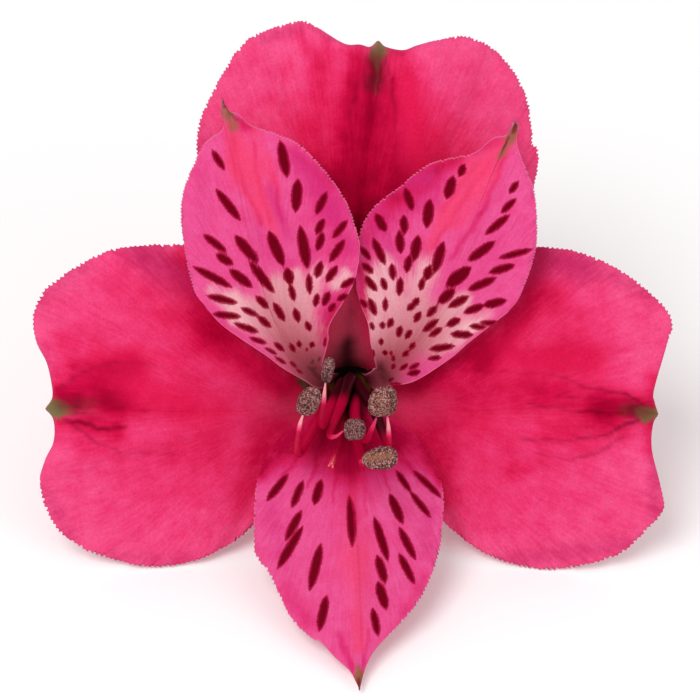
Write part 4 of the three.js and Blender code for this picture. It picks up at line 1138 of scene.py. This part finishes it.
def thread_masks(rings, bare, shade_top=THROAT_SHADE_TOP):
    """What the thread material reads: how bare of crimson each ring is, and the throat's shade."""
    grid = np.ones(rings.shape[:2])
    shade = smoothstep(shade_top, shade_top - THROAT_SHADE_DEPTH, rings[..., 2].mean(1))
    return {"bare": grid * bare[:, None], "dim": grid * shade[:, None]}


def make_filament(number, stamen, material):
    """A thread along its path, thickest a third of the way up and drawn to a point at its tip."""
    foot = STAMEN_RING * outward(stamen["stands"]) + FOOT_HEIGHT * AXIS
    along = np.linspace(0, 1, THREAD_ROWS)
    middles = smooth_curve([foot, *stamen["path"]], along)
    ats, radii = zip(*FILAMENT_RADII)
    rings = tube(middles, eased(np.interp(along, ats, radii), FILAMENT_EASING), THREAD_SIDES)
    from_tip = np.linalg.norm(middles - middles[-1], axis=1)
    late = smoothstep(*BARE_FROM_TIP, from_tip) * (along > 0.5)
    masks = thread_masks(rings, stamen["bare"] * late, stamen.get("shade_top", THROAT_SHADE_TOP))
    piece = closed_tubes(f"thread_{number}", [(rings, along, masks)])
    settle(piece, material, f"filament_{number}")


def make_anther(number, stamen, material):
    """Two pollen sacs side by side. Along it the outline is (1 - |v|^2.6)^0.5; across it, nearly
    an ellipse, whose thickness is cut by a furrow down each broad face, deeper in front."""
    v = np.sin(np.linspace(-ANTHER_END, ANTHER_END, ANTHER_ROWS))
    angle = np.arange(ANTHER_SIDES) / ANTHER_SIDES * 2 * np.pi
    sine = np.sin(angle)[None]
    outline = np.sqrt(1 - np.abs(v) ** ANTHER_BLUNT)[:, None]
    x = np.cos(angle)[None] * outline * (1 + stamen["taper"] * v[:, None])
    z = np.sign(sine) * np.abs(sine) ** ANTHER_BOXY * outline
    furrow = bell(x, FURROW_HALF) * smoothstep(*FURROW_ENDS, np.abs(v))[:, None]
    z = z * (1 - np.where(sine > 0, FURROW_FRONT, FURROW_BEHIND) * furrow)
    seam = bell(sine, SEAM_HALF) * smoothstep(*SEAM_ENDS, np.abs(v))[:, None]
    x = x * (1 - SEAM_DEPTH * seam) * stamen["slim"]
    along = unit(np.array(stamen["along"]))
    across = unit(np.cross(stamen["face"], along))
    through = np.cross(along, across)
    mealy = 1 + MEALY_RELIEF * grain_field(ANTHER_ROWS, ANTHER_SIDES, 1)
    points = (
        np.array(stamen["anther"])
        + (ANTHER_HALF[0] * x * mealy)[..., None] * across
        + (ANTHER_HALF[1] * z * mealy)[..., None] * through
        + (ANTHER_HALF[2] * v)[:, None, None] * along
    )
    masks = {
        "furrow": np.where(sine > 0, 1, FURROW_PALER) * furrow * stamen["brown"],
        "seam": seam * outline,
        "warm": np.full(points.shape[:2], stamen["warm"]),
    }
    piece = closed_tubes(f"pollen_sacs_{number}", [(points, v / 2 + 0.5, masks)])
    settle(piece, material, f"anther_{number}")


def make_style(material):
    """A thread that parts near its end into three slender stigma lobes."""
    along = np.linspace(0, 1, THREAD_ROWS)
    middles = smooth_curve(STYLE_PATH, along)
    ats, radii = zip(*STYLE_RADII)
    rings = tube(middles, np.interp(along, ats, radii), THREAD_SIDES)
    tubes = [(rings, along, thread_masks(rings, STYLE_BARE * smoothstep(0.85, 1, along)))]
    ahead = unit(middles[-1] - middles[-4])
    aside = unit(np.cross(ahead, AXIS))
    steps = np.linspace(0, 1, LOBE_ROWS)
    for turn in map(math.radians, LOBE_TURNS):
        way = math.cos(turn) * aside + math.sin(turn) * np.cross(aside, ahead)
        lobe = [middles[-LOBE_STARTS] + LOBE_START_OUT * way]
        lobe += [middles[-1] + out * way + on * ahead for out, on in LOBE_PATH]
        radii = LOBE_RADIUS * (1 - LOBE_TAPER * steps**3)
        rings = tube(smooth_curve(lobe, steps), radii, LOBE_SIDES)
        bare = LOBE_BARE[0] + LOBE_BARE[1] * smoothstep(0.2, 1, steps)
        tubes.append((rings, steps, thread_masks(rings, bare)))
    settle(closed_tubes("style_and_stigma", tubes), material, "style")


def stalk_path():
    """The path down the flower's axis, round a quadratic Bezier bend, and along the surface."""
    fall = math.radians(90 - LEAN_BACK)
    bend_drop = DISC_MIDDLE[2] - STALK_RADIUS - OVARY_LENGTH * math.sin(fall)
    bend_radius = bend_drop / (1 - math.cos(fall))
    start = -OVARY_LENGTH * AXIS
    end = start + bend_radius * np.array([0, 1 - math.cos(fall), -math.sin(fall)])
    flat = np.array([0, math.sin(fall), -math.cos(fall)])
    corner = start - bend_radius * math.tan(fall / 2) * AXIS
    down = np.linspace(0, 1, OVARY_ROWS)[:, None] * start
    s = np.linspace(0, 1, BEND_ROWS)[1:, None]
    bend = (1 - s) ** 2 * start + 2 * s * (1 - s) * corner + s**2 * end
    lying = end + np.linspace(0, 1, STALK_ROWS)[1:, None] * flat * STALK_STRAIGHT
    return np.concatenate([down, bend, lying])


def make_ovary_and_stalk(material):
    """Rings down the ovary and the stalk, whose radius follows the profile, under a low dome of
    FOOT_HEIGHT times 1 - share^4. Ribs add their depth times the cosine of their number times the
    angle: six over the ovary, and eighteen fine ones over the stalk."""
    middles = stalk_path()
    reach = reach_along(middles)
    ats, radii = zip(*OVARY_PROFILE)
    radius = eased(np.interp(reach, ats, radii), PROFILE_EASING)
    dome = (FOOT_HEIGHT * (1 - DOME_RINGS**4))[:, None] * AXIS
    middles = np.concatenate([dome, middles])
    reach = np.r_[np.zeros(len(DOME_RINGS)), reach]
    radius = np.r_[DOME_RINGS * radius[0], radius]
    angle = np.arange(STALK_SIDES) / STALK_SIDES * 2 * np.pi
    ribbed = smoothstep(0, 1, reach) * (1 - smoothstep(RIBS_FADE_FROM, OVARY_LENGTH, reach))
    rib = ribbed[:, None] * np.cos(OVARY_RIBS * angle)
    fine = np.cos(STALK_RIBS * angle + STALK_RIB_TURN) * smoothstep(*STALK_RIBS_FADE, reach)[:, None]
    swelling = 1 + OVARY_RIB_DEPTH * rib + STALK_RIB_DEPTH * fine
    rings = tube(middles, radius[:, None] * swelling, STALK_SIDES)
    grid = np.ones(rings.shape[:2])
    disc = grid * smoothstep(DISC_PAINT, 0, reach)[:, None]
    strip_x, strip_from, strip_full = DISC_SHADE_STRIP
    strip = smoothstep(strip_from, strip_full, np.abs(rings[..., 0] - strip_x))
    masks = {
        "down": grid * reach[:, None],
        "rib": rib,
        "disc": disc,
        # painted shade of the throat's core on the disc
        "dark": disc * np.maximum(strip, smoothstep(*DISC_SHADE_TOP, rings[..., 1])),
        "cut": grid * smoothstep(reach[-1] - CUT_PAINT, reach[-1], reach)[:, None],
    }
    piece = closed_tubes("ovary_with_stalk", [(rings, reach / reach[-1], masks)])
    settle(piece, material, "ovary_and_stalk")


# ---- shader building ----


def linear(colour):
    """A colour of 0 to 255 as linear red, green, blue and alpha 1. A node's output stays itself."""
    if isinstance(colour, bpy.types.NodeSocket):
        return colour
    share = np.array(colour) / 255
    light = np.where(share <= 0.04045, share / 12.92, ((share + 0.055) / 1.055) ** 2.4)
    return (*light.tolist(), 1)


def add(tree, kind, inputs=(), group=None, **settings):
    """A new node of the given kind, or a use of a group. inputs pairs a socket's name or number
    with a value or with another node's output."""
    node = tree.nodes.new(kind)
    if group:
        node.node_tree = group
    for setting, value in settings.items():
        setattr(node, setting, value)
    for socket, value in dict(inputs).items():
        if isinstance(value, bpy.types.NodeSocket):
            tree.links.new(value, node.inputs[socket])
        else:
            node.inputs[socket].default_value = value
    return node


def math_node(tree, operation, a, b):
    """The result of an operation on two values."""
    return add(tree, "ShaderNodeMath", {0: a, 1: b}, operation=operation).outputs[0]


def weighed(tree, start, *pairs):
    """start, plus each value times its weight."""
    total = start
    for value, weight in pairs:
        total = math_node(tree, "ADD", total, math_node(tree, "MULTIPLY", value, weight))
    return total


def spread_node(tree, value, low, high, new_low=0.0, new_high=1.0):
    """value from low to high as new_low to new_high, smoothly and never past them."""
    inputs = {
        "Value": value, "From Min": low, "From Max": high, "To Min": new_low, "To Max": new_high,
    }
    node = add(tree, "ShaderNodeMapRange", inputs, interpolation_type="SMOOTHSTEP")
    return node.outputs["Result"]


def cover(tree, share, below, above, blend="MIX"):
    """The colour below, with the one above laid over it as far as share says."""
    inputs = {0: share, 6: linear(below), 7: linear(above)}
    return add(tree, "ShaderNodeMix", inputs, data_type="RGBA", blend_type=blend).outputs[2]


def ramp_node(tree, value, stops):
    """A colour for each value, from stops that pair a value with a colour."""
    node = add(tree, "ShaderNodeValToRGB", {"Fac": value})
    ramp = node.color_ramp
    while len(ramp.elements) < len(stops):
        ramp.elements.new(0.5)
    for element, (place, colour) in zip(ramp.elements, stops):
        element.position = place
        element.color = linear(colour)
    return node.outputs["Color"]


def noise_node(tree, place, size, detail, roughness=0.5):
    """Noise from 0 to 1, with size patches to each unit of the place."""
    inputs = {"Vector": place, "Scale": size, "Detail": detail, "Roughness": roughness}
    return add(tree, "ShaderNodeTexNoise", inputs).outputs["Fac"]


def mask_node(tree, name):
    """A mask that the mesh holds."""
    return add(tree, "ShaderNodeAttribute", attribute_name=name).outputs["Fac"]


def piece_place(tree):
    """Where a point is in its piece, in metres."""
    return add(tree, "ShaderNodeTexCoord").outputs["Object"]


def surface_place(tree):
    """Where a point is on the piece's UV map."""
    return add(tree, "ShaderNodeUVMap", uv_map="petal").outputs["UV"]


def new_material(name):
    """An empty material and its node tree."""
    material = bpy.data.materials.new(name)
    material.use_nodes = True
    material.node_tree.nodes.clear()
    return material, material.node_tree


def finish_surface(tree, height, bump, surface, through=0.0):
    """The end of a material: a bump from height, the surface with its own values, and the share
    of its light that comes through from behind."""
    normal = add(tree, "ShaderNodeBump", {**bump, "Height": height}).outputs["Normal"]
    top = add(tree, "ShaderNodeBsdfPrincipled", {**surface, "Normal": normal}).outputs[0]
    if through:
        lit = {"Color": surface["Base Color"], "Normal": normal}
        glow = add(tree, "ShaderNodeBsdfTranslucent", lit).outputs[0]
        top = add(tree, "ShaderNodeMixShader", {0: through, 1: top, 2: glow}).outputs[0]
    add(tree, "ShaderNodeOutputMaterial", {"Surface": top})


# ---- petals ----


def make_petal_grain():
    """Group: streaks that follow the veins, read from the UV map, and blotches and a fine mottle
    read from the place in metres. Each is a value round 0, and Height is for bumps."""
    group = bpy.data.node_groups.new("petal grain", "ShaderNodeTree")
    for name, kind in (("Vein place", "NodeSocketVector"), ("Place", "NodeSocketVector"),
                       ("Streaks", "NodeSocketFloat"), ("Grain size", "NodeSocketFloat")):
        group.interface.new_socket(name, in_out="INPUT", socket_type=kind)
    for name in ("Streak", "Blotch", "Mottle", "Height"):
        group.interface.new_socket(name, in_out="OUTPUT", socket_type="NodeSocketFloat")
    given = group.nodes.new("NodeGroupInput").outputs
    made = group.nodes.new("NodeGroupOutput").inputs
    stretch = add(
        group, "ShaderNodeCombineXYZ", {"X": given["Streaks"], "Y": STREAKS_UP, "Z": 1.0}
    ).outputs[0]
    along = add(
        group, "ShaderNodeVectorMath", {0: given["Vein place"], 1: stretch}, operation="MULTIPLY"
    ).outputs[0]
    streak = noise_node(group, along, size=1.0, detail=4.0, roughness=0.62)
    blotch = noise_node(group, given["Place"], BLOTCH_SIZE, detail=4.0, roughness=0.6)
    mottle = noise_node(group, given["Place"], given["Grain size"], detail=3.0, roughness=0.65)
    cells = add(
        group, "ShaderNodeTexVoronoi", {"Vector": given["Place"], "Scale": given["Grain size"]}
    ).outputs["Distance"]
    height = math_node(group, "MULTIPLY", streak, STREAK_HEIGHT)
    height = weighed(group, height, (mottle, MOTTLE_HEIGHT), (cells, CELL_HEIGHT))
    for name, value in (("Streak", streak), ("Blotch", blotch), ("Mottle", mottle)):
        group.links.new(math_node(group, "SUBTRACT", value, 0.5), made[name])
    group.links.new(height, made["Height"])
    return group


def uneven(tree, start, grain, weights):
    """start, plus the grain's streaks, blotches and mottle times their weights."""
    parts = zip((grain["Streak"], grain["Blotch"], grain["Mottle"]), weights)
    return weighed(tree, start, *((part, weight) for part, weight in parts if weight))


def petal_ground(tree, grain, look):
    """The pinks: a ramp by how dark a crimson the colour is, which fades outwards. Its crimson strokes
    are partly painted shade.
    """
    outwards = math_node(tree, "POWER", mask_node(tree, "outwards"), look["fading_power"])
    crimson_and_shade = mask_node(tree, "crimson_and_shade")
    depth = weighed(tree, look["middle"], (crimson_and_shade, look["crimson_and_shade"]), (outwards, -look["fading"]))
    depth = uneven(tree, depth, grain, (look["streak_tone"], look["blotch_tone"], 0))
    return ramp_node(tree, depth, look["ramp"])


def lay_soft_colours(tree, colour, grain, look):
    """The colours of PETAL_LAYERS over the pinks, in their order, and then the light rim."""
    base = ramp_node(tree, mask_node(tree, "outwards"), look["pale"])
    for mask, layer in PETAL_LAYERS.items():
        share = mask_node(tree, mask)
        if layer["ragged"]:
            share = math_node(tree, "MULTIPLY", share, uneven(tree, 1.0, grain, layer["grain"]))
        else:
            share = uneven(tree, share, grain, layer["grain"])
        share = spread_node(tree, share, layer["low"], layer["high"], 0, layer["most"])
        colour = cover(tree, share, colour, base if mask == "pale" else look[mask])
    rim = uneven(tree, mask_node(tree, "rim"), grain, RIM_GRAIN)
    rim = spread_node(tree, rim, *RIM_SPREAD, 0, look["rim_share"])
    return cover(tree, rim, colour, look["rim"])


def lay_dashes(tree, colour, grain, behind, look):
    """Each dash as a core inside a soft halo, both ragged by the grain and fainter behind."""
    edge = uneven(tree, mask_node(tree, "mark"), grain, DASH_GRAIN)
    strength = weighed(tree, 1.0, (behind, -FAINTER_BEHIND))
    halo = spread_node(tree, edge, *DASH_HALO, 0, HALO_SHARE)
    colour = cover(tree, math_node(tree, "MULTIPLY", halo, strength), colour, look["mark_edge"])
    core = spread_node(tree, edge, *DASH_CORE)
    return cover(tree, math_node(tree, "MULTIPLY", core, strength), colour, look["mark"])


def shade_petal(tree, colour, grain, behind, look):
    """The mottle's light and dark, then the paler back, then the painted shade of the throat."""
    tone = uneven(tree, 1.0, grain, (0, 0, look["mottle_tone"]))
    grey = add(tree, "ShaderNodeCombineColor", {0: tone, 1: tone, 2: tone}).outputs[0]
    colour = cover(tree, 1.0, colour, grey, "MULTIPLY")
    colour = cover(tree, math_node(tree, "MULTIPLY", behind, BACK_SHARE), colour, look["behind"])
    dark = math_node(tree, "MULTIPLY", mask_node(tree, "dark"), THROAT_SHADE_SHARE)
    return cover(tree, dark, colour, THROAT_SHADE_COLOUR)


def petal_material(name, group, look):
    """A satin petal: pinks under soft colours and dashes, with light that comes through it."""
    material, tree = new_material(name)
    inputs = {
        "Vein place": surface_place(tree), "Place": piece_place(tree),
        "Streaks": look["streaks"], "Grain size": look["grain_size"],
    }
    grain = add(tree, "ShaderNodeGroup", inputs, group).outputs
    behind = mask_node(tree, "behind")
    colour = petal_ground(tree, grain, look)
    colour = lay_soft_colours(tree, colour, grain, look)
    colour = lay_dashes(tree, colour, grain, behind, look)
    colour = shade_petal(tree, colour, grain, behind, look)
    roughness = spread_node(tree, grain["Mottle"], *MOTTLE_RANGE, *PETAL_ROUGHNESS)
    finish_surface(
        tree, grain["Height"], {"Strength": 0.5, "Distance": 0.00005},
        {"Base Color": colour, "Roughness": roughness, "Specular IOR Level": 0.02}, LIGHT_THROUGH,
    )
    return material


# ---- threads, pollen and stalk ----


def thread_material(name, stops, roughness):
    """A moist thread: a ramp by how bare of crimson it is, darker in the throat, where shade is painted
    on.
    """
    material, tree = new_material(name)
    noise = noise_node(tree, piece_place(tree), THREAD_GRAIN, detail=3.0)
    wobble = math_node(tree, "SUBTRACT", noise, 0.5)
    bare = weighed(tree, mask_node(tree, "bare"), (wobble, THREAD_WOBBLE))
    dim = spread_node(tree, mask_node(tree, "dim"), 0, 1, 0, THROAT_SHADE_SHARE)
    colour = cover(tree, dim, ramp_node(tree, bare, stops), THREAD_SHADE)
    finish_surface(
        tree, noise, {"Strength": 0.25, "Distance": 0.00004},
        {"Base Color": colour, "Roughness": roughness, "Specular IOR Level": 0.15},
    )
    return material


def pollen_material():
    """Mealy: pale grains with dark gaps between them, mauve-grey to beige by how warm the anther
    is, browner in the furrow and darker along the seams."""
    material, tree = new_material("mealy pollen sacs")
    place = piece_place(tree)
    gaps = add(
        tree, "ShaderNodeTexVoronoi", {"Vector": place, "Scale": POLLEN_GRAINS}
    ).outputs["Distance"]
    noise = noise_node(tree, place, POLLEN_NOISE, detail=4.0, roughness=0.7)
    tone = math_node(tree, "SUBTRACT", noise, POLLEN_NOISE_MIDDLE)
    tone = math_node(tree, "MULTIPLY", tone, POLLEN_NOISE_WEIGHT)
    tone = weighed(tree, tone, (gaps, POLLEN_GAP_WEIGHT))
    cool = ramp_node(tree, tone, POLLEN_COOL)
    colour = cover(tree, mask_node(tree, "warm"), cool, ramp_node(tree, tone, POLLEN_BEIGE))
    brown = spread_node(tree, mask_node(tree, "furrow"), *FURROW_SPREAD)
    colour = cover(tree, brown, colour, FURROW_COLOUR)
    dark = spread_node(tree, mask_node(tree, "seam"), *SEAM_SPREAD)
    colour = cover(tree, dark, colour, SEAM_COLOUR)
    finish_surface(
        tree, math_node(tree, "SUBTRACT", 1.0, gaps), {"Strength": 0.8, "Distance": 0.00006},
        {"Base Color": colour, "Roughness": 0.95, "Specular IOR Level": 0.15},
    )
    return material


def stalk_material():
    """Waxy green with paler ribs, a pink flush under the flower, and fine streaks lengthwise."""
    material, tree = new_material("waxy stalk")
    stretch = add(
        tree, "ShaderNodeVectorMath", {0: surface_place(tree), 1: STALK_STREAKS},
        operation="MULTIPLY",
    ).outputs[0]
    streak = noise_node(tree, stretch, size=1.0, detail=4.0)
    speckle = noise_node(tree, piece_place(tree), STALK_SPECKLE, detail=3.0)
    tone = weighed(tree, streak, (mask_node(tree, "rib"), RIB_TONE))
    flush = spread_node(tree, mask_node(tree, "down"), FLUSH_REACH, 0, 0, FLUSH_SHARE)
    colour = cover(tree, flush, ramp_node(tree, tone, GREEN_RAMP), FLUSH_COLOUR)
    disc = mask_node(tree, "disc")
    colour = cover(tree, mask_node(tree, "cut"), colour, CUT_COLOUR)
    colour = cover(tree, disc, colour, DISC_COLOUR)
    # The disc's dark is painted shade of the throat's core.
    colour = cover(tree, mask_node(tree, "dark"), colour, THROAT_SHADE_COLOUR)
    height = weighed(tree, streak, (speckle, SPECKLE_HEIGHT))
    roughness = spread_node(tree, disc, 0, 1, *STALK_ROUGHNESS)
    finish_surface(
        tree, height, {"Strength": 0.35, "Distance": 0.00005},
        {"Base Color": colour, "Roughness": roughness, "Specular IOR Level": 0.3},
    )
    return material


# ---- light, floor and camera ----


def make_floor():
    """A plain pale floor far wider than the flower, which glows a little to keep shadows faint."""
    low, high = -FLOOR_HALF, FLOOR_HALF
    mesh = bpy.data.meshes.new("floor")
    corners = [(low, low, 0), (high, low, 0), (high, high, 0), (low, high, 0)]
    mesh.from_pydata(corners, [], [(0, 1, 2, 3)])
    floor = new_object("floor", mesh)
    material, tree = new_material("pale floor")
    surface = {
        "Base Color": (0.97, 0.97, 0.97, 1), "Roughness": 0.9, "Specular IOR Level": 0.1,
        "Emission Color": (1, 1, 1, 1), "Emission Strength": FLOOR_GLOW,
    }
    top = add(tree, "ShaderNodeBsdfPrincipled", surface).outputs[0]
    add(tree, "ShaderNodeOutputMaterial", {"Surface": top})
    mesh.materials.append(material)


def make_light():
    """Even white light from all round, a broad soft key lamp from above the eye's left, and a
    faint fill lamp from its right."""
    world = bpy.data.worlds.new("soft studio")
    bpy.context.scene.world = world
    world.use_nodes = True
    sky = world.node_tree.nodes["Background"].inputs
    sky["Color"].default_value = (1, 1, 1, 1)
    sky["Strength"].default_value = SKY_LIGHT
    aim = in_place(SHARP_HEIGHT * AXIS)
    for name, (place, power) in LAMPS.items():
        lamp = bpy.data.lights.new(name, "AREA")
        lamp.shape = "DISK"
        lamp.size = LAMP_SIZE
        lamp.energy = power
        holder = new_object(name, lamp)
        holder.location = place
        towards = Vector(aim - np.array(place))
        holder.rotation_euler = towards.to_track_quat("-Z", "Y").to_euler()


def make_camera():
    """The eye: square on to the flower, with a lens that shows SEEN_WIDTH at SHARP_HEIGHT."""
    camera = bpy.data.cameras.new("eye")
    camera.sensor_width = SENSOR_WIDTH
    camera.lens = SENSOR_WIDTH * (EYE[2] - SHARP_HEIGHT) / SEEN_WIDTH
    camera.clip_start = NEAREST_SEEN
    holder = new_object("eye", camera)
    holder.location = in_place(EYE)
    holder.rotation_euler = (math.radians(LEAN_BACK), 0, 0)
    bpy.context.scene.camera = holder


make_camera()
make_light()
make_floor()
bpy.context.scene.view_settings.view_transform = "Standard"

petal_grain = make_petal_grain()
outer_petal = petal_material("outer petal", petal_grain, OUTER_LOOK)
inner_petal = petal_material("inner petal", petal_grain, INNER_LOOK)
for tepal_name in TEPALS:
    make_tepal(tepal_name, outer_petal if tepal_name.startswith("outer") else inner_petal)

filament_finish = thread_material("filament", FILAMENT_RAMP, 0.4)
pollen = pollen_material()
for index, parts in enumerate(STAMENS, 1):
    make_filament(index, parts, filament_finish)
    make_anther(index, parts, pollen)
make_style(thread_material("style", STYLE_RAMP, 0.45))
make_ovary_and_stalk(stalk_material())
